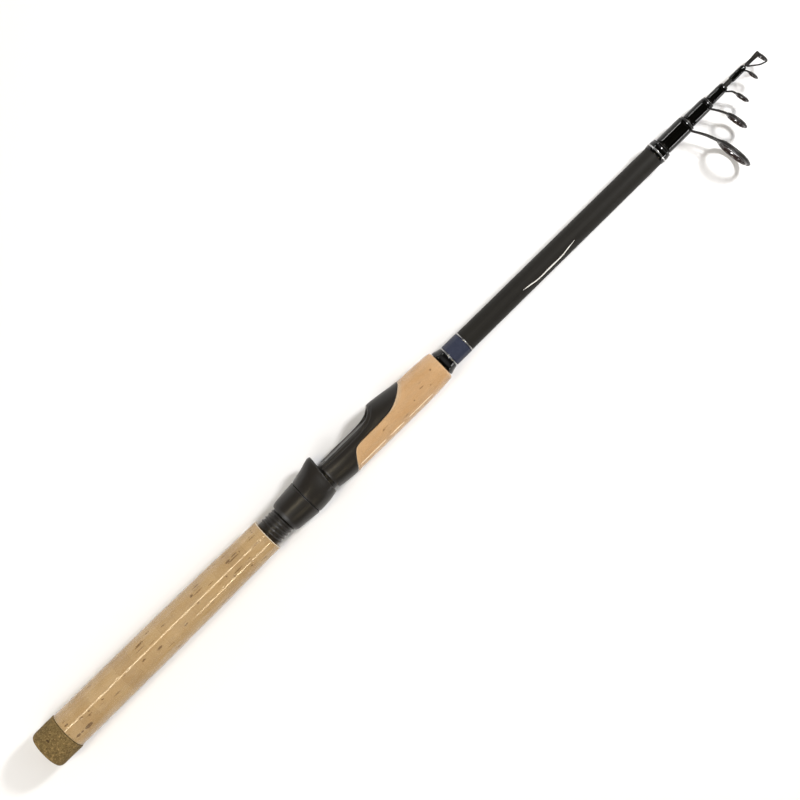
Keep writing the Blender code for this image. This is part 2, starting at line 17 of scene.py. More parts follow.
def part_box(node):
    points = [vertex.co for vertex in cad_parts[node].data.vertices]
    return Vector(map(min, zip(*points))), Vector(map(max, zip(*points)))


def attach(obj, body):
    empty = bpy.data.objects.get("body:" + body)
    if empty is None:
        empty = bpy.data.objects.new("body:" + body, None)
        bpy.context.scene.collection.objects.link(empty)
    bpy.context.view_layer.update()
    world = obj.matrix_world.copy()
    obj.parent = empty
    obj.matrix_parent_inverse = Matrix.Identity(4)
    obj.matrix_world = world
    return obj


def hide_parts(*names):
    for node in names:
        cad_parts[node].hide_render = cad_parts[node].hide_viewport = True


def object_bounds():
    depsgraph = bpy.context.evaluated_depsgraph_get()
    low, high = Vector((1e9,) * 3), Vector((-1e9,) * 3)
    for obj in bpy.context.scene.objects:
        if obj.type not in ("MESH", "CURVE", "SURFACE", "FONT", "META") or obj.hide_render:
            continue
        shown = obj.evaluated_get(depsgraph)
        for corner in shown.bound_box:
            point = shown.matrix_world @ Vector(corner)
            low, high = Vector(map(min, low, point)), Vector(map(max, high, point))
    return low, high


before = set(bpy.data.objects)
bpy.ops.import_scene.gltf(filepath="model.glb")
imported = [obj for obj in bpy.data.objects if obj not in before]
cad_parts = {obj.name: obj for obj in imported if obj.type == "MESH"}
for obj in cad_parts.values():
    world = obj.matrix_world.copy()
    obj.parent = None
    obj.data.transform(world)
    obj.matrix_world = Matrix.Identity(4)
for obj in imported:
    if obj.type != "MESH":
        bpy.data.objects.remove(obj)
CAD_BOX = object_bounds()

MM = 0.001
SEAT_ROLL = math.radians(9)
GAP = 0.3
ON_AXIS = 1e-4
SHARP_ANGLE = math.radians(38)
SEED = 23
RANDOM = random.Random(SEED)


# ---------------- what the CAD says


def rod_axis():
    """Where the rod's axis starts at the butt, in metres."""
    low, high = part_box("handle_blank")
    return Vector((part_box("butt_cap")[0].x, (low.y + high.y) / 2, (low.z + high.z) / 2))


AXIS = rod_axis()


def corners_of(mesh):
    """A mesh's corners, in metres in its own frame."""
    points = np.empty(len(mesh.vertices) * 3)
    mesh.vertices.foreach_get("co", points)
    return points.reshape(-1, 3)


def cad_points(node):
    """The corners of a CAD node in the rod's frame."""
    return (corners_of(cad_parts[node].data) - np.array(AXIS)) / MM


def span(node):
    """The lowest and highest x of a CAD node."""
    along = cad_points(node)[:, 0]
    return float(along.min()), float(along.max())


def cad_rows(node):
    """The lowest and highest radius of a CAD node at each x where it has corners."""
    rows = {}
    for x, y, z in cad_points(node):
        rows.setdefault(round(x * 20) / 20, []).append(math.hypot(y, z))
    return [(x, min(radii), max(radii)) for x, radii in sorted(rows.items())]


def outside_of(node, least=0.0):
    """The outer (x, radius) outline of a turned CAD node, leaving out corners within a least radius."""
    return [(x, high) for x, _, high in cad_rows(node) if high > least]


def bore_of(node):
    """The bore's (x, radius) outline of a CAD tube, from the tip end to the butt end."""
    return [(x, low) for x, low, high in reversed(cad_rows(node)) if high - low > 0.02]


# ---------------- outlines and meshes


def smoothed(points, steps):
    """Points on a Catmull-Rom curve through points of any number of values."""
    places = [np.array(point, float) for point in points]
    padded = [2 * places[0] - places[1], *places, 2 * places[-1] - places[-2]]
    found = []
    for before, start, end, after in zip(padded, padded[1:], padded[2:], padded[3:]):
        for i in range(steps):
            t = i / steps
            bend = (2 * before - 5 * start + 4 * end - after) * t**2
            twist = (3 * start - before - 3 * end + after) * t**3
            found.append((2 * start + (end - before) * t + bend + twist) / 2)
    return [tuple(float(v) for v in point) for point in [*found, places[-1]]]


def rounded(outline, steps=5):
    """An outline of (x, radius) or (x, radius, fillet) points with its corners rounded by those fillets."""
    corners = [Vector(point[:2]) for point in outline]
    found = []
    for i, corner in enumerate(corners):
        fillet = outline[i][2] if len(outline[i]) > 2 else 0.0
        before, after = corners[i - 1] - corner, corners[(i + 1) % len(corners)] - corner
        if fillet == 0 or corner.y < ON_AXIS:
            found.append(tuple(corner))
            continue
        start = corner + before.normalized() * min(fillet, 0.48 * before.length)
        end = corner + after.normalized() * min(fillet, 0.48 * after.length)
        for k in range(steps + 1):
            t = k / steps
            found.append(tuple(start * (1 - t) ** 2 + corner * 2 * t * (1 - t) + end * t**2))
    return found


def divided(outline, step):
    """An open outline with extra points, no further apart than a step."""
    found = [outline[0]]
    for start, end in zip(outline, outline[1:]):
        count = max(1, math.ceil(math.dist(start, end) / step))
        found += [tuple(a + (b - a) * k / count for a, b in zip(start, end)) for k in range(1, count + 1)]
    return found


def faces_between(rows, closed):
    """Quads between rows of corner numbers round the axis, or triangles where a row is a point."""
    pairs = list(zip(rows, rows[1:]))
    if closed:
        pairs.append((rows[-1], rows[0]))
    faces = []
    for row, following in pairs:
        for k in range(len(row)):
            j = (k + 1) % len(row)
            face = list(dict.fromkeys((row[k], row[j], following[j], following[k])))
            if len(face) > 2:
                faces.append(face)
    return faces


def turned(outline, sides):
    """(points, faces) of an outline turned about the x axis. It runs tipwards on the outside."""
    circle = [(math.cos(2 * math.pi * k / sides), math.sin(2 * math.pi * k / sides)) for k in range(sides)]
    points, rows = [], []
    for x, radius in outline:
        if radius < ON_AXIS:
            rows.append([len(points)] * sides)
            points.append((x, 0.0, 0.0))
        else:
            rows.append(list(range(len(points), len(points) + sides)))
            points += [(x, radius * c, radius * s) for c, s in circle]
    closed = not (outline[0][1] < ON_AXIS and outline[-1][1] < ON_AXIS)
    return points, faces_between(rows, closed)


def lofted(rings, ends=True):
    """(points, faces) of a skin over rings of equal counts, with flat ends or as a closed loop."""
    count = len(rings[0])
    rows = [list(range(i * count, (i + 1) * count)) for i in range(len(rings))]
    faces = faces_between(rows, not ends)
    if ends:
        faces += [rows[0][::-1], rows[-1]]
    return [point for ring in rings for point in ring], faces


def swept(points, radii, sides=14):
    """(points, faces) of a round wire through points, with a radius at each and a dome at each end."""
    line = [Vector(point) for point in points]
    heading = (line[1] - line[0]).normalized()
    across = heading.orthogonal().normalized()
    rings, last = [], len(line) - 1
    for i, (place, radius) in enumerate(zip(line, radii)):
        ahead = (line[min(i + 1, last)] - line[max(i - 1, 0)]).normalized()
        across = (across - ahead * across.dot(ahead)).normalized()
        other = ahead.cross(across)
        stations = [(0.0, 1.0)]
        if i in (0, last):
            dome = [(math.sin(a), math.cos(a)) for a in (0.4, 0.8, 1.2, 1.5)]
            stations = [(0.0, 1.0), *dome] if i else [(-s, c) for s, c in dome[::-1]] + [(0.0, 1.0)]
        for shift, share in stations:
            turn = [(math.cos(t), math.sin(t)) for t in (2 * math.pi * k / sides for k in range(sides))]
            centre = place + ahead * shift * radius
            rings.append([centre + (across * c + other * s) * radius * share for c, s in turn])
    return lofted([[tuple(point) for point in ring] for ring in rings])


def moved(shape, matrix):
    """A shape's (points, faces) carried by a matrix."""
    points, faces = shape
    return [tuple(matrix @ Vector(point)) for point in points], faces


def joined(*shapes):
    """Several shapes as one, without welding them."""
    points, faces = [], []
    for some, theirs in shapes:
        faces += [[corner + len(points) for corner in face] for face in theirs]
        points += some
    return points, faces


def mesh_of(name, shape):
    """A mesh in metres with its faces turned outwards."""
    points, faces = shape
    mesh = bpy.data.meshes.new(name)
    mesh.from_pydata((np.array(points) * MM).tolist(), [], faces)
    tidy = bmesh.new()
    tidy.from_mesh(mesh)
    bmesh.ops.recalc_face_normals(tidy, faces=tidy.faces)
    tidy.to_mesh(mesh)
    tidy.free()
    return mesh


def add_object(name, mesh):
    made = bpy.data.objects.new(name, mesh)
    bpy.context.scene.collection.objects.link(made)
    made.location = AXIS
    return made


def store(mesh, name, values):
    """Stores a value for each corner of a mesh, which its material reads."""
    mesh.attributes.new(name, "FLOAT", "POINT").data.foreach_set("value", values)


def add_piece(name, shape, finish, body, *nodes, sharp=SHARP_ANGLE, look=None):
    """Shows a mesh or a shape's (points, faces) as a piece that rides on a body in place of CAD nodes.

    It wears one of FINISHES, or another material that is its look.
    """
    mesh = mesh_of(name, shape) if isinstance(shape, tuple) else shape
    made = add_object(name, mesh)
    mesh.materials.clear()
    mesh.materials.append(look or FINISHES[finish])
    mesh.shade_smooth()
    mesh.set_sharp_from_angle(angle=sharp)
    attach(made, body)
    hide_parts(*nodes)


def add_turned(name, outline, sides, finish, body, *nodes, look=None):
    add_piece(name, turned(outline, sides), finish, body, *nodes, look=look)


# ---------------- materials


class Nodes:
    """Shorthand for building a material's node tree."""

    def __init__(self, name):
        self.material = bpy.data.materials.new(name)
        self.material.use_nodes = True
        self.tree = self.material.node_tree
        self.shader = self.tree.nodes["Principled BSDF"]

    def put(self, sockets, values):
        for name, value in values.items():
            if isinstance(value, bpy.types.NodeSocket):
                self.tree.links.new(value, sockets[name])
            else:
                sockets[name].default_value = value

    def add(self, kind, inputs, result=0, **settings):
        """Makes a node and returns one of its outputs."""
        made = self.tree.nodes.new("ShaderNode" + kind)
        for name, value in settings.items():
            setattr(made, name, value)
        self.put(made.inputs, inputs)
        return made.outputs[result]

    def shade(self, **values):
        """Sets the shader's sockets, named with _ for a space."""
        self.put(self.shader.inputs, {name.replace("_", " "): value for name, value in values.items()})

    def place(self, along=1.0, across=1.0):
        """The place on the rod in millimetres, stretched along and across the axis."""
        scale = (1000 * along, 1000 * across, 1000 * across)
        where = self.add("TexCoord", {}, "Object")
        return self.add("VectorMath", {0: where, 1: scale}, operation="MULTIPLY")

    def noise(self, place, scale, detail=3.0, roughness=0.55):
        inputs = {"Vector": place, "Scale": scale, "Detail": detail, "Roughness": roughness}
        return self.add("TexNoise", inputs)

    def ramp(self, value, *stops):
        """A ramp of (place, colour) stops, whose colours are sRGB out of 255 or plain greys out of 1."""
        made = self.tree.nodes.new("ShaderNodeValToRGB")
        self.tree.links.new(value, made.inputs[0])
        while len(made.color_ramp.elements) < len(stops):
            made.color_ramp.elements.new(0.5)
        for element, (place, colour) in zip(made.color_ramp.elements, stops):
            element.position = place
            element.color = linear(colour) if isinstance(colour, tuple) else (colour, colour, colour, 1.0)
        return made.outputs[0]

    def mix(self, factor, first, second):
        """The mix of two colours, each a socket or an sRGB colour."""
        made = self.tree.nodes.new("ShaderNodeMix")
        made.data_type = "RGBA"
        for socket, value in ((made.inputs[0], factor), (made.inputs[6], first), (made.inputs[7], second)):
            if isinstance(value, bpy.types.NodeSocket):
                self.tree.links.new(value, socket)
            else:
                socket.default_value = linear(value) if isinstance(value, tuple) else value
        return made.outputs[2]

    def over(self, colour, other, value, *stops):
        """A colour with another laid over it, by as much as a ramp of a value says."""
        return self.mix(self.ramp(value, *stops), colour, other)

    def math(self, operation, first, second=0.0):
        return self.add("Math", {0: first, 1: second}, operation=operation)

    def bump(self, height, depth):
        """A bump of a depth in millimetres."""
        return self.add("Bump", {"Height": height, "Distance": depth * MM, "Strength": 1.0})

    def attribute(self, name):
        return self.add("Attribute", {}, "Fac", attribute_name=name)


def linear(colour):
    """An sRGB colour out of 255 as linear red, green, blue and alpha."""
    shares = [value / 255 for value in colour[:3]]
    return (*[s / 12.92 if s <= 0.04045 else ((s + 0.055) / 1.055) ** 2.4 for s in shares], 1.0)


def cork(name, pale, dark, seam):
    """Glued cork rings under clear film: a tone for each ring, streaks, specks and open pits."""
    n = Nodes(name)
    place = n.place()
    x = n.add("SeparateXYZ", {0: place})
    rings = n.math("DIVIDE", n.math("SUBTRACT", x, seam), CORK_RING)
    tone = n.add("TexWhiteNoise", {"W": n.math("FLOOR", rings)}, noise_dimensions="1D")
    cloud = n.noise(n.place(0.6, 1.0), 0.12, 4.0, 0.6)
    mood = n.math("ADD", n.math("MULTIPLY", tone, 0.22), n.math("MULTIPLY", cloud, 0.78))
    colour = n.ramp(mood, (0.3, dark), (0.7, pale))
    streaks = n.noise(n.place(0.22, 1.3), 0.9, 5.0, 0.65)
    colour = n.over(colour, (148, 108, 66), streaks, (0.56, 0.0), (0.74, 0.32))
    specks = n.noise(place, 2.1, 2.0, 0.5)
    colour = n.over(colour, (120, 84, 48), specks, (0.62, 0.0), (0.72, 0.28))
    grain = n.add("TexVoronoi", {"Vector": place, "Scale": 1.4})
    colour = n.over(colour, (226, 196, 152), grain, (0.1, 0.0), (0.9, 0.13))
    into_ring = n.math("PINGPONG", rings, 0.5)
    colour = n.over(colour, (112, 80, 46), into_ring, (0.0, 0.2), (0.018, 0.0))
    pit = n.attribute("pit")
    ragged = n.math("MULTIPLY", pit, n.math("ADD", n.noise(place, 1.8, 2.0), 0.55))
    colour = n.over(colour, (92, 60, 26), ragged, (0.1, 0.0), (0.55, 0.9))
    fine = n.bump(n.noise(place, 3.2, 3.0), 0.05)
    n.shade(Base_Color=colour, Roughness=n.ramp(streaks, (0.3, 0.5), (0.7, 0.66)), Normal=fine)
    wavy = n.bump(n.noise(n.place(0.5, 1.0), 0.28, 2.0), 0.035)
    n.shade(Specular_IOR_Level=0.08, Coat_Weight=1.0, Coat_Roughness=0.07, Coat_IOR=1.45, Coat_Normal=wavy)
    return n.material


def burl():
    """Pressed cork granules of many tones between rubbery dark joints."""
    n = Nodes("burl_cork")
    place = n.place()
    warped = n.add("VectorMath", {0: place, 1: n.add("TexNoise", {"Vector": place, "Scale": 0.5}, "Color")})
    grains = n.add("TexVoronoi", {"Vector": warped, "Scale": 0.95}, "Color")
    tone = n.add("SeparateColor", {0: grains})
    tones = [(0.0, (94, 78, 46)), (0.4, (112, 93, 57)), (0.8, (128, 107, 67)), (1.0, (146, 119, 75))]
    colour = n.ramp(tone, *tones)
    edge = n.add("TexVoronoi", {"Vector": warped, "Scale": 0.95}, feature="DISTANCE_TO_EDGE")
    colour = n.over(colour, (76, 60, 34), edge, (0.0, 0.6), (0.14, 0.0))
    specks = n.noise(place, 2.4, 3.0, 0.6)
    colour = n.over(colour, (84, 64, 34), specks, (0.55, 0.0), (0.7, 0.45))
    colour = n.over(colour, (54, 40, 24), n.attribute("pit"), (0.2, 0.0), (0.8, 0.85))
    height = n.math("ADD", n.ramp(edge, (0.0, 0.0), (0.2, 0.6)), n.math("MULTIPLY", specks, 0.6))
    n.shade(Base_Color=colour, Roughness=n.ramp(specks, (0.3, 0.72), (0.7, 0.9)))
    n.shade(Normal=n.bump(height, 0.16), Specular_IOR_Level=0.15)
    return n.material


def moulded(name, base, worn, roughness, grain):
    """Satin moulded plastic with a fine eroded texture and faint rubbing."""
    n = Nodes(name)
    rubbed = n.noise(n.place(0.5, 1.0), 0.16, 4.0, 0.6)
    fine = n.noise(n.place(), grain, 3.0, 0.6)
    colour = n.over(base, worn, rubbed, (0.35, 0.0), (0.75, 1.0))
    low, high = roughness
    n.shade(Base_Color=colour, Roughness=n.ramp(rubbed, (0.3, high), (0.7, low)))
    n.shade(Normal=n.bump(fine, 0.035), Specular_IOR_Level=0.35)
    return n.material


def wound(name, colour, painted_sheen, pitch=0.3, coat=1.0):
    """Rings of fine winding thread, each turn with a painted sheen, under smooth, slightly rippled epoxy."""
    n = Nodes(name)
    place = n.place()
    x = n.add("SeparateXYZ", {0: place})
    thread = n.math("PINGPONG", n.math("DIVIDE", x, pitch), 0.5)
    # The middle of each thread turn takes the lighter colour: a painted sheen.
    painted_shine = n.over(colour, painted_sheen, thread, (0.1, 0.0), (0.5, 1.0))
    patchy = n.noise(place, 0.5, 3.0)
    painted_shine = n.over(painted_shine, colour, patchy, (0.4, 0.0), (0.75, 0.35))
    n.shade(Base_Color=painted_shine, Roughness=n.ramp(patchy, (0.3, 0.5), (0.7, 0.62)))
    n.shade(Normal=n.bump(thread, 0.05), Specular_IOR_Level=0.0)
    ripple = n.bump(n.noise(n.place(1.0, 0.6), 0.35, 1.0), 0.03)
    n.shade(Coat_Weight=coat, Coat_Roughness=0.035, Coat_IOR=1.42, Coat_Normal=ripple)
    return n.material


def graphite():
    """The unpolished blank: dark carbon with faint sanding rings and lengthwise grain."""
    n = Nodes("blank")
    along = n.noise(n.place(0.03, 2.2), 1.0, 4.0, 0.6)
    rings = n.noise(n.place(2.4, 0.04), 1.0, 2.0, 0.5)
    colour = n.ramp(along, (0.3, (20, 18, 15)), (0.7, (29, 27, 23)))
    colour = n.over(colour, (37, 34, 29), rings, (0.5, 0.0), (0.75, 0.3))
    height = n.math("ADD", n.math("MULTIPLY", along, 0.6), n.math("MULTIPLY", rings, 0.4))
    n.shade(Base_Color=colour, Roughness=n.ramp(rings, (0.3, 0.52), (0.7, 0.62)))
    n.shade(Normal=n.bump(height, 0.02), Specular_IOR_Level=0.2)
    return n.material


def metal(name, colour, worn, roughness, metallic=1.0):
    """Bare or plated metal with fine scratches and slightly uneven polish."""
    n = Nodes(name)
    marks = n.noise(n.place(0.4, 2.0), 1.5, 5.0, 0.65)
    low, high = roughness
    tint = n.over(colour, worn, marks, (0.45, 0.0), (0.75, 1.0))
    n.shade(Base_Color=tint, Metallic=metallic, Roughness=n.ramp(marks, (0.3, low), (0.7, high)))
    n.shade(Normal=n.bump(marks, 0.012))
    return n.material


def ceramic():
    """A polished dark guide ring with a faint red-brown cast."""
    n = Nodes("ring_ceramic")
    cloud = n.noise(n.place(), 0.8, 3.0)
    n.shade(Base_Color=n.ramp(cloud, (0.3, (26, 21, 20)), (0.75, (48, 36, 33))))
    n.shade(Roughness=n.ramp(cloud, (0.3, 0.12), (0.7, 0.2)), Coat_Weight=0.6, Coat_Roughness=0.05)
    return n.material


def film():
    """Clear shrink film, nearly unseen but for its cut ends, where it lifts and turns milky."""
    n = Nodes("clear_film")
    edge = n.attribute("edge")
    haze = n.noise(n.place(0.2, 1.0), 0.35, 3.0)
    n.shade(Base_Color=n.mix(edge, (226, 214, 190), (252, 246, 228)))
    veil = n.ramp(haze, (0.35, 0.015), (0.8, 0.075))
    n.shade(Alpha=n.math("MAXIMUM", veil, n.math("MULTIPLY", edge, 0.8)))
    n.shade(Roughness=n.ramp(haze, (0.3, 0.1), (0.7, 0.2)))
    return n.material


def tape():
    """Crêped masking tape, wound in turns."""
    n = Nodes("arbor_tape")
    creases = n.noise(n.place(3.0, 0.7), 1.0, 4.0, 0.6)
    n.shade(Base_Color=n.ramp(creases, (0.3, (178, 158, 112)), (0.7, (208, 190, 146))), Roughness=0.85)
    n.shade(Normal=n.bump(creases, 0.05))
    return n.material


def paint():
    """Thin pale paint, rubbed a little at its edges."""
    n = Nodes("line_paint")
    wear = n.noise(n.place(), 0.9, 4.0, 0.6)
    n.shade(Base_Color=n.ramp(wear, (0.35, (232, 230, 224)), (0.8, (190, 187, 180))))
    n.shade(Roughness=n.ramp(wear, (0.3, 0.3), (0.7, 0.45)), Coat_Weight=0.4, Coat_Roughness=0.1)
    return n.material


def painted_streak_look():
    """A painted highlight: pale, slightly uneven paint for thin beads on the film, as lines of light."""
    n = Nodes("film_crease")
    tone = n.noise(n.place(), 0.7, 2.0, 0.5)
    # The pale warm colour is a painted highlight.
    n.shade(Base_Color=n.ramp(tone, (0.35, (255, 238, 208)), (0.7, (244, 218, 180))), Roughness=0.3)
    return n.material


CORK_RING = 12.7
REAR_CORK_START = span("rear_grip")[0]
FORE_CORK_END = span("fore_grip")[1]

FINISHES = {
    "burl_cork": burl(),
    "cork": cork("cork", (166, 137, 94), (148, 118, 76), REAR_CORK_START),
    "fore_cork": cork("fore_cork", (185, 147, 104), (171, 131, 86), FORE_CORK_END),
    "clear_film": film(),
    "seat_plastic": moulded("seat_plastic", (27, 24, 21), (34, 31, 27), (0.3, 0.42), 2.6),
    "gloss_winding": wound("gloss_winding", (3, 3, 2), (6, 5, 4)),
    "blank": graphite(),
    "navy_winding": wound("navy_winding", (38, 41, 54), (66, 70, 86), 0.28, 0.5),
    "silver_ring": metal("silver_ring", (176, 176, 175), (142, 141, 139), (0.22, 0.38)),
    "guide_metal": metal("guide_metal", (20, 18, 17), (36, 32, 29), (0.32, 0.48), 0.35),
    "ring_ceramic": ceramic(),
    "rubber": moulded("rubber", (24, 24, 24), (36, 35, 34), (0.8, 0.92), 1.2),
    "arbor_tape": tape(),
    "base_ring": moulded("base_ring", (26, 26, 25), (44, 42, 40), (0.35, 0.5), 3.0),
}
LINE_PAINT = paint()
# Pale paint for the beads on the fore film: painted highlight lines.
HIGHLIGHT_PAINT = painted_streak_look()
DULL_RING = metal("dull_ring", (104, 103, 101), (80, 79, 77), (0.4, 0.55))


# ---------------- pits in the cork

# Each mark is its place along the rod, its angle from the top towards the guides, its length, its width
# round the grip, and its depth.
REAR_MARKS = [
    (24.5, -15, 3.2, 1.2, 0.22),
    (21.4, 10, 3.0, 0.5, 0.1),
    (25.3, 32, 3.6, 1.7, 0.3),
    (28.6, 32, 2.2, 1.3, 0.25),
    (34.4, 33, 6.0, 2.5, 0.35),
    (62.0, 23, 7.0, 1.2, 0.09),
    (51.0, -56, 7.0, 1.2, 0.08),
    (92.5, -33, 8.0, 1.0, 0.1),
    (92.0, -22, 9.5, 0.6, 0.12),
    (89.5, 8, 3.5, 1.1, 0.16),
    (102.3, 15, 5.0, 1.6, 0.14),
    (109.0, 33, 8.0, 0.7, 0.1),
    (146.0, -44, 6.5, 1.2, 0.12),
    (140.0, -30, 3.0, 1.9, 0.14),
    (172.0, -28, 4.0, 1.6, 0.2),
    (178.0, -30, 5.0, 0.9, 0.2),
    (176.0, -22, 11.0, 0.8, 0.16),
    (193.5, -30, 8.0, 0.6, 0.14),
    (169.0, 19, 1.4, 1.2, 0.2),
    (181.6, 36, 1.6, 1.2, 0.18),
    (165.0, 3, 1.6, 1.2, 0.14),
]
FORE_MARKS = [
    (340.0, 8, 5.0, 0.7, 0.12),
    (352.0, -12, 1.4, 1.6, 0.14),
    (306.0, 40, 2.4, 0.8, 0.14),
    (331.0, 22, 1.2, 1.2, 0.14),
]
PIT_SCALE = 0.22


def scattered(marks, start, end, count, reach):
    """The given marks and a count of random ones, mostly small and shallow, all round the grip."""
    found = list(marks)
    for _ in range(count):
        length = min(9.0, 1.2 + RANDOM.expovariate(0.45))
        width = RANDOM.uniform(0.45, 1.1) * (1.4 if length < 2.5 else 1.0)
        depth = RANDOM.uniform(0.03, 0.14) * reach
        found.append((RANDOM.uniform(start, end), RANDOM.uniform(0, 360), length, width, depth))
    return found


def carve(mesh, marks, least_radius):
    """Sinks pits into the outside of a round mesh, and stores how deep each place is as pit."""
    points = corners_of(mesh) / MM
    radius = np.hypot(points[:, 1], points[:, 2])
    angle = np.degrees(np.arctan2(points[:, 2], -points[:, 1])) - 90
    ragged = 0.35 * np.sin(points[:, 0] * 3.1) * np.sin(radius * np.radians(angle) * 3.7 + 1.0)
    sunk = np.zeros(len(points))
    for x, around, length, width, depth in marks:
        turn = (angle + around + 180) % 360 - 180
        along = (points[:, 0] - x) / (length / 2)
        across = np.radians(turn) * radius / (width / 2)
        share = np.clip(1.25 - along**2 - across**2 + ragged, 0, 1)
        sunk = np.maximum(sunk, share * depth)
    sunk[radius < least_radius] = 0
    keep = 1 - sunk / np.maximum(radius, 1.0)
    points[:, 1:] *= keep[:, None]
    mesh.vertices.foreach_set("co", (points * MM).ravel())
    store(mesh, "pit", np.clip(sunk / PIT_SCALE, 0, 1))


# ---------------- butt and rear grip

CAP_FILLET = 4.4
CAP_SIDES = 176
GRIP_SIDES = 184
REAR_RIM = 0.5


def make_butt_cap():
    """The burl cork cap. Its end bulges a little, and granules have fallen out here and there."""
    start, end = span("butt_cap")
    radius = (CAD_BOX[1].z - CAD_BOX[0].z) / 2 / MM
    hole = max(low for _, low, high in cad_rows("butt_cap") if high - low > 0.02)
    depth = min(x for x, _, high in cad_rows("butt_cap") if x > start + CAP_FILLET and high < radius - 1)
    dome = [(start, 0.0), (start, 8.0, 2.0), (start + 0.12, radius - 0.1, CAP_FILLET), (end, radius, 0.3)]
    outside = divided(rounded([*dome, (end, hole)], 8)[:-1], 0.5)
    inside = [(end, hole), (depth, hole), (depth, 0.0)]
    mesh = mesh_of("butt_cap_look", turned(outside + inside, CAP_SIDES))
    marks = scattered([(8.8, -18, 1.2, 3.2, 0.3)], start + 1, end - 1, 120, 1.2)
    carve(mesh, [(x, a, min(1.6, l), w, d) for x, a, l, w, d in marks], hole + 0.5)
    add_piece("butt_cap_look", mesh, "burl_cork", "cap", "butt_cap")


# A thread's flank: how far from the crest, in pitches, and the share of its height there.
THREAD_FLANK = [(0.4, 0.0), (0.26, 0.45), (0.12, 0.92)]


def thread_shape(start, end, pitch, root, crest, steps):
    """A right-handed ridge with a rounded crest, fading in and out over half a turn."""
    count = int((end - start) / pitch * steps)
    profile = [*((-x, rise) for x, rise in THREAD_FLANK), (0.0, 1.0), *reversed(THREAD_FLANK)]
    rings = []
    for i in range(count + 1):
        angle = 2 * math.pi * i / steps
        middle = start + pitch * i / steps
        fade = max(0.03, min(1.0, 2 * i / steps, 2 * (count - i) / steps))
        places = [(middle + x * pitch, root + (crest - root) * rise * fade) for x, rise in profile]
        rings.append([(x, r * math.cos(angle), r * math.sin(angle)) for x, r in places])
    return lofted(rings)


def make_butt_plug():
    """The plug under the cap, with its thread."""
    rows = cad_rows("butt_plug")
    start, end = span("butt_plug")
    head = max(high for _, _, high in rows)
    seam = max(x for x, _, high in rows if high > head - 0.1)
    crest = max(high for x, _, high in rows if x > seam + 0.2)
    root, cup = crest - 0.4, min(low for x, low, _ in rows if x > end - 0.1)
    floor = min(x for x, low, _ in rows if x > seam and abs(low - cup) < 0.1)
    outside = [(start, 0.0), (start, head, 0.4), (seam, head, 0.3), (seam, root, 0.2), (end, root, 0.5)]
    inside = [(end, cup, 0.3), (floor, cup, 0.3), (floor, 0.0)]
    add_turned("plug_core", rounded(outside + inside), 96, "seat_plastic", "cap", "butt_plug")
    thread = thread_shape(seam + 1.2, end - 1.2, 2.0, root - 0.15, crest, 48)
    add_piece("plug_thread", thread, "seat_plastic", "cap", "butt_plug")


def make_rear_grip():
    """Cork rings turned to a slow taper, with their pits, under a film whose ends show as milky lines."""
    outline = outside_of("rear_grip", max(high for _, _, high in cad_rows("butt_bush")) + 0.4)
    start, end = span("rear_grip")
    ends = [(*outline[0], 0.25), *outline[1:-1], (*outline[-1], 0.35)]
    bore = bore_of("rear_grip")
    outside = divided(rounded([*ends, bore[0], bore[-1]])[:-2], 0.5)
    mesh = mesh_of("rear_cork", turned(outside + bore, GRIP_SIDES))
    carve(mesh, scattered(REAR_MARKS, start, end, 170, 1.0), outline[-1][1] - 1)
    add_piece("rear_cork", mesh, "cork", "handle", "rear_grip")
    make_rear_film(end)


def make_rear_film(end):
    """The film on the rear grip, with corners where its milky rim begins."""
    skin, rim = outside_of("rear_grip_film"), end - REAR_RIM
    under = [(x, low) for x, low, _ in reversed(cad_rows("rear_grip_film"))]
    outside = [*divided(skin, 1.5)[:-1], (rim, skin[-1][1]), skin[-1]]
    inside = [under[0], (rim, under[0][1]), *divided(under, 3.0)[1:]]
    mesh = mesh_of("rear_film", turned(outside + inside, 128))
    store(mesh, "edge", np.clip((corners_of(mesh)[:, 0] / MM - rim) / REAR_RIM, 0, 1))
    add_piece("rear_film", mesh, "clear_film", "handle", "rear_grip_film")


# ---------------- reel seat

# Stations of the seat's body and of the moving hood: x, radius at the sides, and height towards the reel.
SEAT_BODY = [
    (257.1, 10.3, 11.4),
    (259.0, 10.8, 11.4),
    (264.0, 11.4, 11.2),
    (272.0, 12.1, 11.0),
    (290.0, 12.2, 11.0),
    (296.0, 12.2, 12.4),
    (301.0, 12.2, 13.9),
    (306.5, 12.2, 15.5),
    (315.0, 12.2, 14.7),
    (325.0, 12.2, 13.2),
    (332.6, 12.2, 12.3),
]
HOOD_BODY = [
    (236.9, 12.7, 12.7),
    (237.6, 12.95, 13.0),
    (241.0, 13.0, 13.9),
    (246.0, 12.6, 15.1),
    (250.0, 11.9, 16.3),
    (253.0, 11.2, 17.2),
    (255.3, 10.8, 17.5),
    (256.9, 10.8, 16.8),
]
# The curve where seat meets cork and the lip of the fixed hood, as x and height towards the reel.
SWOOSH = [(271, -16), (275, -8.3), (281.3, 0.6), (287.5, 2.6)]
SWOOSH += [(305, 2.8), (316, 4), (326, 8.4), (335.5, 16)]
LIP = [(291.0, 8.95), (298.0, 9.7), (303.0, 12.0), (306.6, 15.8)]
BED_FLOOR, BED_RIM, BED_HALF_WIDTH, BED_END = 8.35, 8.95, 6.6, 299.6
POCKET_HALF_WIDTH = 6.2
SEAT_BORE = 7.75
SEAT_VOXEL, HOOD_VOXEL = 0.33, 0.26


def rolled(x, y, z):
    """A point of the seat's own frame, whose y points out of the reel bed, in the rod's frame."""
    return tuple(Matrix.Rotation(SEAT_ROLL, 3, "X") @ Vector((x, y, z)))


def bed_rings(stations, count=96):
    """Round sections whose half towards the reel foot is stretched to a height."""
    rings = []
    for x, side, height in smoothed(stations, 5):
        ring = []
        for k in range(count):
            angle = 2 * math.pi * (k + 0.5) / count
            reach = height if math.cos(angle) > 0 else side
            ring.append(rolled(x, reach * math.cos(angle), side * math.sin(angle)))
        rings.append(ring)
    return rings


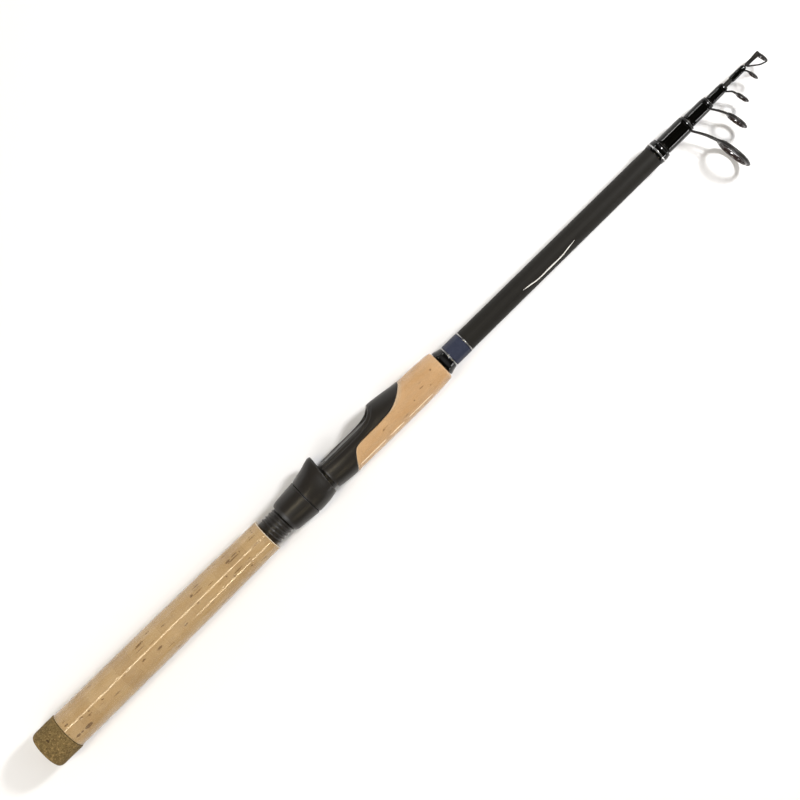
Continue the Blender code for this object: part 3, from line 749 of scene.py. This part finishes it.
def prism(outline, half_width):
    """An outline in the bed's middle plane, extruded to both sides of it."""
    return lofted([[rolled(x, y, z) for x, y in outline] for z in (-half_width, half_width)])


def pocket(floor, *roofs, curve):
    """A hood's pocket: a flat floor under a roof that arches as the hood's outside does."""
    rings = []
    for x, roof in roofs:
        across = [POCKET_HALF_WIDTH * (1 - k / 8) for k in range(17)]
        arch = [(roof * math.sqrt(1 - (z / curve) ** 2), z) for z in across]
        base = [(floor, -POCKET_HALF_WIDTH), (floor, POCKET_HALF_WIDTH)]
        rings.append([rolled(x, y, z) for y, z in base + arch])
    return lofted(rings)


def groove(points, radius, side):
    """A round-bottomed groove along the seat's flank, through (x, height) points on its surface."""
    xs, sides, heights = zip(*smoothed(SEAT_BODY, 5))
    line = []
    for x, y in smoothed(points, 4):
        reach, height = np.interp(x, xs, sides), np.interp(x, xs, heights)
        z = reach * math.sqrt(max(0.0, 1 - (y / height) ** 2))
        line.append(rolled(x, y, side * z))
    return swept(line, [radius] * len(line), 10)


def carved(name, shape, cutters, voxel):
    """A solid with cutters taken out and every edge softened, as a moulding's are."""
    solid = add_object(name, mesh_of(name, shape))
    tools = [add_object(f"{name}_cutter", mesh_of("cutter", cutter)) for cutter in cutters]
    for tool in tools:
        boolean = solid.modifiers.new("Cut", "BOOLEAN")
        boolean.operation, boolean.object, boolean.solver = "DIFFERENCE", tool, "EXACT"
    remesh = solid.modifiers.new("Remesh", "REMESH")
    remesh.mode, remesh.voxel_size = "VOXEL", voxel * MM
    smooth = solid.modifiers.new("Smooth", "SMOOTH")
    smooth.factor, smooth.iterations = 0.5, 5
    bpy.context.view_layer.update()
    graph = bpy.context.evaluated_depsgraph_get()
    mesh = bpy.data.meshes.new_from_object(solid.evaluated_get(graph))
    for spent in (solid, *tools):
        bpy.data.objects.remove(spent, do_unlink=True)
    return mesh


def bore(start, end, radius):
    return turned([(start, 0.0), (start, radius), (end, radius), (end, 0.0)], 96)


def make_reel_seat():
    """The moulded body with its bed, flank grooves and fixed hood, on the threaded sleeve."""
    swoosh, lip = smoothed(SWOOSH, 8), smoothed(LIP, 8)
    cutters = [
        prism([*swoosh, (345.0, 20.0), (345.0, -20.0)], 20.0),
        prism([(250.0, BED_RIM), *lip, (308.0, 25.0), (250.0, 25.0)], 20.0),
        prism([(250.0, BED_FLOOR), (BED_END, BED_FLOOR), (BED_END, 12.0), (250.0, 12.0)], BED_HALF_WIDTH),
        pocket(8.15, (299.3, 14.1), (306.5, 14.1), (322.0, 11.6), curve=10.8),
        bore(250.0, 340.0, SEAT_BORE),
    ]
    for side in (-1, 1):
        cutters.append(groove([(255, 8.6), (270, 8.6), (284, 8.6), (290, 8.7)], 0.4, side))
        lower = [(255, 6.7), (270, 6.7), (284, 6.7), (292, 6.9), (298, 7.8), (303.5, 10.2), (307.5, 13.8)]
        cutters.append(groove(lower, 0.55, side))
    body = carved("seat_body", lofted(bed_rings(SEAT_BODY)), cutters, SEAT_VOXEL)
    add_piece("seat_body", body, "seat_plastic", "handle", "reel_seat", sharp=math.pi)
    make_sleeve()


def make_sleeve():
    """The sleeve behind the body: a thread for the nut, then a smooth barrel under the moving hood."""
    start, end = span("reel_seat")
    crest = max(high for x, _, high in cad_rows("reel_seat") if x < 236)
    root, barrel, step = crest - 0.7, crest - 0.3, 240.5
    outside = [(start, root, 0.4), (step, root), (step + 0.8, barrel, 0.3), (258.5, barrel), (258.6, root)]
    rear = rounded([*outside, (262.0, root), (262.0, SEAT_BORE), (start, SEAT_BORE, 0.3)])
    add_turned("seat_sleeve", rear, 128, "seat_plastic", "handle", "reel_seat")
    thread = thread_shape(start + 1.1, start + 34.1, 3.0, root - 0.25, crest, 64)
    add_piece("seat_thread", thread, "seat_plastic", "handle", "reel_seat")
    front = rounded([(330.0, root), (end, root, 0.3), (end, SEAT_BORE), (330.0, SEAT_BORE)])
    add_turned("seat_sleeve_end", front, 96, "seat_plastic", "handle", "reel_seat")


def make_moving_hood():
    """The hood that the nut drives, with a slanted, softly rounded front."""
    cutters = [
        prism([(253.2, -14.0), (255.7, 8.0), (256.9, 18.0), (262.0, 18.0), (262.0, -14.0)], 20.0),
        pocket(6.75, (246.0, 12.9), (258.0, 16.0), curve=9.8),
        bore(230.0, 260.0, hood_bore()),
    ]
    mesh = carved("hood_body", lofted(bed_rings(HOOD_BODY)), cutters, HOOD_VOXEL)
    add_piece("hood_body", mesh, "seat_plastic", "hood", "moving_hood", sharp=math.pi)


def hood_bore():
    return min(low for _, low, _ in cad_rows("locking_nut"))


def make_nut():
    """The locking nut: a cone with a chamfer behind and a soft edge at the seam to the hood."""
    outline = outside_of("locking_nut")
    start, end = span("locking_nut")
    softened = [(*outline[0], 0.4), (*outline[1], 0.9), (end - 0.35, outline[2][1] + 0.2, 0.5)]
    inside = [(end, outline[3][1] - 0.1, 0.2), (end, hood_bore(), 0.4), (start, hood_bore(), 0.5)]
    add_turned("nut_look", rounded(softened + inside), 160, "seat_plastic", "nut", "locking_nut")


# ---------------- fore grip and trim


def swoosh_moved(clearance):
    """The curve where the cork begins, moved off the seat by a clearance."""
    line = [Vector(point) for point in smoothed(SWOOSH, 10)]
    found = []
    for i, point in enumerate(line):
        along = (line[min(i + 1, len(line) - 1)] - line[max(i - 1, 0)]).normalized()
        found.append(point + clearance * Vector((along.y, -along.x)))
    return found


FORE_RIM = 0.4
FORE_RADIUS = 12.2
FORE_SKIN_START = 336
FILM_DEPTH = 0.15
CORK_DEPTH = 0.25
SLEEVE_STEP, SLEEVE_WIDE, SLEEVE_NARROW = 335.3, 9.1, 7.5
# Where painted highlight lines run along the fore film, and their angle from the top towards the guides.
HIGHLIGHT_LINES = [(277.4, 300.2), (304.3, 316.6), (321.1, 342.2)]
HIGHLIGHT_ANGLE = math.radians(52)
HIGHLIGHT_POINTS = 15


def fore_angles():
    """Angles round the fore grip from the bed's side, close together where its edge runs lengthwise."""
    radius = FORE_RADIUS
    steep = [math.acos(p.y / radius) for p in swoosh_moved(GAP) if abs(p.y) < radius - 0.05]
    half = sorted({round(a, 3) for a in [*steep, *(math.pi * k / 56 for k in range(1, 56))]})
    thinned = [half[0]]
    for angle in half[1:]:
        if angle - thinned[-1] > 0.006:
            thinned.append(angle)
    return [0.0, *thinned, math.pi, *(2 * math.pi - a for a in reversed(thinned))]


def fore_shell(outline, inner, step):
    """A shell round the sleeve from the swoosh on. outline and inner are (x, radius) points."""
    edge = swoosh_moved(GAP)
    ys, xs = [p.y for p in edge], [p.x for p in edge]
    angles = fore_angles()

    def ring(where, radius):
        return [rolled(where(a), radius * math.cos(a), radius * math.sin(a)) for a in angles]

    def from_edge(radius, front, share):
        def where(a):
            rear = float(np.interp(radius * math.cos(a), ys, xs))
            return rear + share * (front - rear)

        return ring(where, radius)

    (front, radius), (inner_front, inner_radius) = outline[0], inner[0]
    count = math.ceil((front - min(xs)) / step)
    shares = [0.0, FORE_RIM / (front - min(xs)), *(k / count for k in range(1, count))]
    rings = [from_edge(radius, front, share) for share in shares]
    for x, r in [*divided(outline, step), *reversed(inner)]:
        rings.append(ring(lambda _, x=x: x, r))
    rings += [from_edge(inner_radius, inner_front, share) for share in (0.5, shares[1], 0.0)]
    return lofted(rings, ends=False)


def near_rear_edge(points):
    """How close points are to the film's cut rear edge, measured along the rod over its milky rim."""
    edge = swoosh_moved(GAP)
    y = points[:, 1] * math.cos(SEAT_ROLL) + points[:, 2] * math.sin(SEAT_ROLL)
    rear = np.interp(y, [p.y for p in edge], [p.x for p in edge])
    return 0.45 * np.clip(1 - (points[:, 0] - rear) / FORE_RIM, 0, 1)


def make_fore_grip():
    """Paler cork cut to the seat's curve, drawn in at its front, under film."""
    end = span("fore_grip")[1]
    skin = [(x, r) for x, r in outside_of("fore_grip_film") if x > FORE_SKIN_START]
    inner = [(SLEEVE_STEP, SLEEVE_WIDE), (SLEEVE_STEP + 0.05, SLEEVE_NARROW), (end, SLEEVE_NARROW)]
    softened = [(x, r - CORK_DEPTH, 0.6 if x == end else 2.0) for x, r in skin]
    cork_skin = rounded([*softened, (end, SLEEVE_NARROW)])[5:-1]
    cork_outline = [(skin[0][0], skin[0][1] - CORK_DEPTH), *cork_skin]
    mesh = mesh_of("fore_cork", fore_shell(cork_outline, inner, 0.55))
    carve(mesh, scattered(FORE_MARKS, 262, end, 70, 0.8), 10.3)
    add_piece("fore_cork", mesh, "fore_cork", "handle", "fore_grip")
    make_fore_film(skin)


def make_fore_film(skin):
    """The film on the fore grip, and thin beads along its lower flank painted pale as highlight lines."""
    mesh = mesh_of("fore_film", fore_shell(skin, [(x, r - FILM_DEPTH) for x, r in skin], 1.2))
    store(mesh, "edge", near_rear_edge(corners_of(mesh) / MM))
    add_piece("fore_film", mesh, "clear_film", "handle", "fore_grip_film")
    radius = skin[0][1] + 0.02
    y, z = -radius * math.sin(HIGHLIGHT_ANGLE), radius * math.cos(HIGHLIGHT_ANGLE)
    swell = np.sin(np.linspace(0.1, math.pi - 0.1, HIGHLIGHT_POINTS))
    radii = [0.06 + 0.18 * math.sqrt(share) for share in swell]
    # Each bead along the film is painted pale as a line of light: painted highlight.
    for i, (start, end) in enumerate(HIGHLIGHT_LINES):
        highlight_bead = swept([(x, y, z) for x in np.linspace(start, end, HIGHLIGHT_POINTS)], radii, 8)
        name = f"film_crease_{i + 1}"
        add_piece(name, highlight_bead, "clear_film", "handle", "fore_grip_film", look=HIGHLIGHT_PAINT)


def make_trim():
    """The winding check, the navy band between bright rings, and the winding and ring at the mouth."""
    check = outside_of("winding_check")
    softened = [(*check[0], 0.25), (*check[1], 0.6), (*check[2], 0.8), (*check[3], 0.25)]
    ramp = rounded(softened + bore_of("winding_check"))
    add_turned("check_look", ramp, 112, "gloss_winding", "handle", "winding_check")
    band = [*outside_of("band_winding"), *bore_of("band_winding")]
    add_turned("band_look", band, 112, "navy_winding", "handle", "band_winding")
    for name in ("band_ring_rear", "band_ring_front", "mouth_ring"):
        soft = [(x, r, 0.3) for x, r in outside_of(name)]
        add_turned(f"{name}_look", rounded(soft + bore_of(name)), 112, "silver_ring", "handle", name)
    add_winding("mouth_winding", "handle", 1.2, 1.8)


def add_winding(node, body, rear, shoulder):
    """A winding under epoxy, drawn down behind, and in front where no collar follows it."""
    outline = outside_of(node)
    start, end, radius = outline[0][0], outline[-1][0], max(r for _, r in outline)
    bore_line = bore_of(node)
    thin = bore_line[-1][1] + 0.12
    outside = [(start, thin), (start + 0.35 * rear, radius - 0.12, rear * 0.3), (start + rear, radius, 0.8)]
    if shoulder:
        outside += [(end - shoulder, radius, shoulder), (end, radius - 0.45 * shoulder, 0.5 * shoulder)]
    else:
        outside += [(end - 1.2, radius, 1.0), (end, radius - COLLAR_DROP, 0.05)]
    add_turned(f"{node}_look", rounded(outside + bore_line, 6), 112, "gloss_winding", body, node)


# ---------------- blank and sections

# The painted line's knots: x, angle from the top towards the guides, and width.
LINE_KNOTS = [(431.0, 23, 0.15), (437.0, 31, 0.8), (443.7, 40, 0.8), (454.0, 40, 1.1), (464.4, 40, 0.9)]
LINE_KNOTS += [(471.0, 32, 0.7), (477.6, 25, 0.1)]
PAINT_DEPTH = 0.03
COLLAR_DROP = 0.12


def make_blank():
    """The handle section's tube, and the thin pale line painted along it."""
    skin = outside_of("handle_blank")
    soft = [(x, r, 0.3) for x, r in skin]
    tube = rounded(soft + bore_of("handle_blank"))
    add_turned("blank_look", tube, 128, "blank", "handle", "handle_blank")
    xs, radii = zip(*skin)
    rings = []
    for x, angle, width in smoothed(LINE_KNOTS, 10):
        radius = float(np.interp(x, xs, radii))
        middle, half = math.radians(angle), max(width, 0.08) / 2 / radius
        turns = [middle + half * (k / 3 - 1) for k in range(7)]
        top = [(radius + PAINT_DEPTH * (1 - abs(k - 3) / 9), t) for k, t in enumerate(turns)]
        under = [(radius - 0.1, t) for t in reversed(turns)]
        rings.append([(x, -r * math.sin(t), r * math.cos(t)) for r, t in top + under])
    add_piece("blank_line", lofted(rings), "blank", "handle", look=LINE_PAINT)


def make_sections():
    """The inner sections' tubes, each with its winding and, on the two widest, a bright end ring."""
    for number, sides in ((2, 112), (3, 96), (4, 80), (5, 64)):
        body = f"section_{number}"
        node = f"{body}_tube"
        tube = rounded([(x, r, 0.15) for x, r in outside_of(node)] + bore_of(node))
        add_turned(f"{node}_look", tube, sides, "blank", body, node)
        add_winding(f"{body}_winding", body, 1.0, 0.0)
    for body in ("section_2", "section_3"):
        node = f"{body}_end_ring"
        (start, radius), (_, inner) = outside_of(node)[0], bore_of(node)[-1]
        near, far = start + 0.1, start + 0.4
        line = [(near, radius - 0.2, 0.1), (far, radius - 0.25, 0.1), (far, inner), (near, inner)]
        add_turned(f"{node}_look", rounded(line), 96, "silver_ring", body, node, look=DULL_RING)
    tip = [(x, r, 0.1) for x, r in outside_of("section_6_tip", 0.3)]
    ends = [(tip[0][0], 0.0), *tip, (tip[-1][0], 0.0)]
    add_turned("tip_look", rounded(ends), 32, "blank", "section_6", "section_6_tip")


# ---------------- guides


RIM_ARC = 1.35
# Where a leg meets the rim in degrees from the foot, its foot's place beside the middle, and its bows.
LEG_ANGLES = (17, 28, 42)
FOOT_SHIFT = 0.25
SLIM_WIRE, SLIM_BOW, BOW = 0.5, 0.14, 0.04


class Guide:
    """What a guide's CAD nodes say: where its collar is, and where its ring stands and how it leans."""

    def __init__(self, name, collar_radius):
        self.name = name
        frame_points = cad_points(f"{name}_frame")
        insert = cad_points(f"{name}_insert")
        self.centre = Vector(insert.mean(axis=0))
        spread = insert - insert.mean(axis=0)
        axis = Vector(np.linalg.svd(spread)[2][-1])
        self.axis = axis if axis.x > 0 else -axis
        self.insert_width = float(np.ptp(spread @ np.array(self.axis)))
        radii = np.linalg.norm(spread - np.outer(spread @ np.array(self.axis), self.axis), axis=1)
        self.insert_radius, self.insert_bore = float(radii.max()), float(radii.min())
        near = np.hypot(frame_points[:, 1], frame_points[:, 2]) < collar_radius + 0.01
        self.start, self.end = float(frame_points[near, 0].min()), float(frame_points[near, 0].max())
        self.collar_radius = collar_radius
        out = Vector((0, self.centre.y, self.centre.z))
        self.out = out.normalized()

    def place(self):
        """Carries a ring turned about the x axis at the origin to where this ring stands."""
        x_axis = self.axis.normalized()
        inward = (-self.out - x_axis * x_axis.dot(-self.out)).normalized()
        side = x_axis.cross(inward)
        turn = Matrix((x_axis, inward, side)).transposed().to_4x4()
        return Matrix.Translation(self.centre) @ turn


def ring_shape(outer, inner, width, sides, corner=None):
    """A ring about the x axis with a round rim. Without a corner radius, its bore is rounded inwards."""
    half, thickness = width / 2, outer - inner
    depth = min(half, thickness * 0.8)
    rim = np.linspace(-RIM_ARC, RIM_ARC, 9)
    outline = [(half * math.sin(a), outer - depth * (1 - math.cos(a))) for a in rim]
    if corner is None:
        steps = [math.pi * k / 12 for k in range(13)]
        outline += [(half * math.cos(a), inner + thickness * 0.62 * (1 - math.sin(a))) for a in steps]
    else:
        outline += [(half, inner, corner), (-half, inner, corner)]
    return turned(rounded(outline), sides)


def leg_shape(guide, rim_radius, wire, side):
    """A wire from the collar's flank to the ring, flowing into the rim. The slim ones bow towards the tip."""
    place, foot = guide.place(), guide.collar_radius
    across = Vector((1, 0, 0)).cross(guide.out)
    on_rim = []
    for angle in LEG_ANGLES:
        a = math.radians(angle)
        on_rim.append(place @ Vector((0, rim_radius * math.cos(a), side * rim_radius * math.sin(a))))
    base = Vector((guide.start + 0.2, 0, 0)) + guide.out * foot * 0.9
    shift = across * side * foot * FOOT_SHIFT
    start = base + shift if (on_rim[0] - base + shift).dot(across) * side > 0 else base - shift
    bow = (SLIM_BOW if wire < SLIM_WIRE else BOW) * (on_rim[0] - start).length
    middle = start.lerp(on_rim[0], 0.5) + Vector((bow, 0, 0))
    line = smoothed([tuple(point) for point in (start, middle, *on_rim)], 8)
    thin = [1.0 - 0.35 * max(0.0, i / (len(line) - 1) - 0.6) / 0.4 for i in range(len(line))]
    return swept(line, [wire * share for share in thin])


# Each guide's wire radius, the metal rim's depth and width, and the collar's radius.
GUIDE_WIRES = {
    1: (0.62, 1.5, 2.0, 6.15),
    2: (0.55, 1.05, 1.6, 4.75),
    3: (0.48, 0.75, 1.2, 3.35),
    4: (0.4, 0.65, 1.0, 2.2),
}


def make_guides():
    """Each guide: an epoxied collar on the section's mouth, two wires, a metal rim and a ceramic ring."""
    for number, (wire, band, width, collar_radius) in GUIDE_WIRES.items():
        name, body = f"guide_{number}", f"section_{number + 1}"
        guide = Guide(name, collar_radius)
        rim, sides = guide.insert_radius + 0.12 + band, 128 if number < 3 else 96
        ring = ring_shape(rim, guide.insert_radius + 0.05, width, sides, 0.45 * min(band, width))
        legs = [leg_shape(guide, rim - band / 4, wire, side) for side in (-1, 1)]
        shape = joined(moved(ring, guide.place()), *legs)
        add_piece(f"{name}_metal", shape, "guide_metal", body, f"{name}_frame")
        make_collar(guide, body)
        make_insert(guide, guide.insert_width * 1.12, sides, body)


def make_insert(guide, width, sides, body):
    """The ceramic ring of a guide, where its frame holds it."""
    ring = ring_shape(guide.insert_radius, guide.insert_bore, width, sides)
    shape = moved(ring, guide.place())
    add_piece(f"{guide.name}_ceramic", shape, "ring_ceramic", body, f"{guide.name}_insert")


def make_collar(guide, body):
    """The guide's foot, wound and coated like the winding behind it."""
    inner = min(low for _, low, _ in cad_rows(f"{guide.name}_frame"))
    start, end, top = guide.start, guide.end, guide.collar_radius - COLLAR_DROP / 2
    drop = min(0.85, (top - inner) * 0.8)
    outline = [(start, top), (start + 0.5, top - 0.02, 0.4), (end - 0.35, top - drop * 0.5, 0.5)]
    outline += [(end, top - drop, 0.2), (end, inner), (start, inner)]
    add_turned(f"{guide.name}_collar", rounded(outline), 96, "gloss_winding", body, f"{guide.name}_frame")


# The middle lines of the tip-top's brace and of its legs, which are flat wire that widens to the ring.
TIP_BRACE = [(637.8, -1.2, 0), (641.2, -3.8, 0), (644.2, -6.0, 0), (647.4, -7.2, 0), (649.0, -7.5, 0)]
TIP_LEG = [(639.5, 0, 0.9), (643.5, 0, 1.6), (648.3, 0, 3.2)]
TIP_TUBE_END = 646.0


def make_tip_top():
    """The tip-top: its tube, a ring across the end, two legs and the brace under the ring."""
    radius = cad_rows("tip_top_frame")[0][2]
    guide = Guide("tip_top", radius)
    band, width, sides, leg_start = 0.75, 1.2, 96, TIP_LEG[0][0]
    start, end = span("tip_top_frame")[0], TIP_TUBE_END
    tube = rounded([(start, radius, 0.25), (end - 0.6, radius, 0.3), (end, 0.9, 0.3), (end, 0.0)])
    inside = [(end - GAP, 0.0), (end - GAP, 0.72), (start, 0.72)]
    rim = guide.insert_radius + 0.12 + band
    ring = ring_shape(rim, guide.insert_radius + 0.05, width, sides, 0.36)
    brace = smoothed(TIP_BRACE, 8)
    shapes = [turned(tube + inside, 48), moved(ring, guide.place()), swept(brace, [0.55] * len(brace))]
    for side in (-1, 1):
        leg = smoothed([(x, y, side * z) for x, y, z in TIP_LEG], 8)
        points, faces = swept(leg, [0.5] * len(leg))
        widened = [(x, y * (1.9 + 1.7 * (x - leg_start) / 9.0), z) for x, y, z in points]
        shapes.append((widened, faces))
    add_piece("tip_top_metal", joined(*shapes), "guide_metal", "section_6", "tip_top_frame")
    make_insert(guide, guide.insert_width, sides, "section_6")


# ---------------- CAD nodes that stay

KEPT_NODES = {
    "buffer_pad": "rubber",
    "butt_bush": "seat_plastic",
    "arbor_rear": "arbor_tape",
    "arbor_front": "arbor_tape",
    **{f"section_{number}_base_ring": "base_ring" for number in (2, 3, 4, 5, 6)},
}


def finish_kept_nodes():
    """The hidden pieces keep their CAD shape and get their real finish."""
    for node, finish in KEPT_NODES.items():
        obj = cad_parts[node]
        obj.data.materials.clear()
        obj.data.materials.append(FINISHES[finish])


# ---------------- floor, light and camera

FLOOR_REACH = 12.0
# How far the floor lies under the CAD's lowest place, in metres, so that no shown piece sinks into it.
FLOOR_DROP = 0.00008
SKY_DARK, SKY_PALE = 0.03, 0.8
CAMERA_PLACE = (-0.0005, 0.0178, 1.379)
CAMERA_ROLL = -44.47
CAMERA_VIEW = 21.57
SENSOR = 36.0


def make_floor():
    n = Nodes("pale_floor")
    n.shade(Base_Color=linear((231, 230, 230)), Roughness=0.85, Specular_IOR_Level=0.1)
    mesh = bpy.data.meshes.new("floor")
    corners = [(x * FLOOR_REACH, y * FLOOR_REACH, 0) for x, y in ((-1, -1), (1, -1), (1, 1), (-1, 1))]
    mesh.from_pydata(corners, [], [(0, 1, 2, 3)])
    mesh.materials.append(n.material)
    floor = bpy.data.objects.new("floor", mesh)
    floor.location.z = CAD_BOX[0].z - FLOOR_DROP
    bpy.context.scene.collection.objects.link(floor)


WHITE, AMBER, HONEY = (1.0, 1.0, 1.0), (1.0, 0.86, 0.6), (1.0, 0.84, 0.56)
# Each panel's place, size along the rod and across it, watts, the place that it faces, and colour.
LIGHTS = {
    "key": ((0.82, -0.02, 0.77), (0.17, 0.17), 11.0, (0.25, 0.0, 0.014), WHITE),
    "fill": ((-1.2, 0.0, 1.2), (0.8, 0.8), 5.6, (-0.2, 0.0, 0.014), WHITE),
    "line_a": ((-0.41, 0.19, 1.2), (0.42, 0.13), 2.6, (-0.21, 0.0156, 0.014), AMBER),
    "line_b": ((-0.287, -1.1, 1.0), (0.14, 0.15), 1.5, (-0.15, 0.0156, 0.014), HONEY),
    "line_c": ((-0.59, 1.3, 0.75), (0.09, 0.08), 0.07, (-0.28, 0.0156, 0.014), AMBER),
    "butt_fill": ((-0.85, 0.0, 0.5), (0.5, 0.5), 2.0, (-0.36, 0.0, 0.0), WHITE),
    "tip_line": ((0.5, 1.3, 0.72), (0.25, 0.06), 2.0, (0.25, 0.0156, 0.014), WHITE),
    "low_line": ((0.43, -1.0, 0.14), (0.25, 0.05), 1.4, (0.25, 0.0156, 0.014), WHITE),
    "wall": ((-0.1, 1.5, 0.2), (2.2, 0.3), 3.2, (0.0, 0.0, 0.0), WHITE),
    "rear_-1": ((-1.25, -0.45, 1.5), (0.1, 0.1), 2.0, (0.0, 0.0, 0.0), WHITE),
    "rear_1": ((-1.25, 0.45, 1.5), (0.1, 0.1), 2.0, (0.0, 0.0, 0.0), WHITE),
}


def make_lights():
    """A key beyond the tip, soft fills from the butt, and slim panels that draw lines on the gloss."""
    for name, (place, size, watts, target, colour) in LIGHTS.items():
        data = bpy.data.lights.new(name, "AREA")
        data.shape = "RECTANGLE"
        data.size, data.size_y = size
        data.energy = watts
        data.color = colour
        light = bpy.data.objects.new(name, data)
        back = (Vector(place) - Vector(target)).normalized()
        along = Vector((1, 0, 0)) if abs(back.x) < 0.6 else Vector((0, 1, 0))
        up = back.cross(along).normalized()
        turn = Matrix((up.cross(back), up, back)).transposed().to_4x4()
        light.matrix_world = Matrix.Translation(place) @ turn
        light.visible_camera = False
        bpy.context.scene.collection.objects.link(light)


def make_sky():
    """A studio dark overhead and to the sides, and pale towards both ends of the rod."""
    world = bpy.data.worlds.new("studio")
    bpy.context.scene.world = world
    world.use_nodes = True
    nodes, link = world.node_tree.nodes, world.node_tree.links.new
    kinds = ("TexCoord", "SeparateXYZ", "Math", "MapRange")
    place, split, size, ramp = [nodes.new("ShaderNode" + kind) for kind in kinds]
    size.operation = "ABSOLUTE"
    ramp.interpolation_type = "SMOOTHSTEP"
    limits = {"From Min": 0.3, "From Max": 0.75, "To Min": SKY_DARK, "To Max": SKY_PALE}
    for socket, value in limits.items():
        ramp.inputs[socket].default_value = value
    link(place.outputs["Generated"], split.inputs[0])
    link(split.outputs[0], size.inputs[0])
    link(size.outputs[0], ramp.inputs[0])
    link(ramp.outputs[0], nodes["Background"].inputs["Strength"])
    nodes["Background"].inputs["Color"].default_value = (*WHITE, 1.0)


def make_camera():
    data = bpy.data.cameras.new("camera")
    data.sensor_width = SENSOR
    data.lens = SENSOR / 2 / math.tan(math.radians(CAMERA_VIEW / 2))
    camera = bpy.data.objects.new("camera", data)
    camera.location = CAMERA_PLACE
    camera.rotation_euler = (0.0, 0.0, math.radians(CAMERA_ROLL))
    bpy.context.scene.collection.objects.link(camera)
    bpy.context.scene.camera = camera
    bpy.context.scene.view_settings.view_transform = "Standard"


# ---------------- the rod

make_butt_cap()
make_butt_plug()
make_rear_grip()
make_reel_seat()
make_moving_hood()
make_nut()
make_fore_grip()
make_trim()
make_blank()
make_sections()
make_guides()
make_tip_top()
finish_kept_nodes()
make_floor()
make_lights()
make_sky()
make_camera()
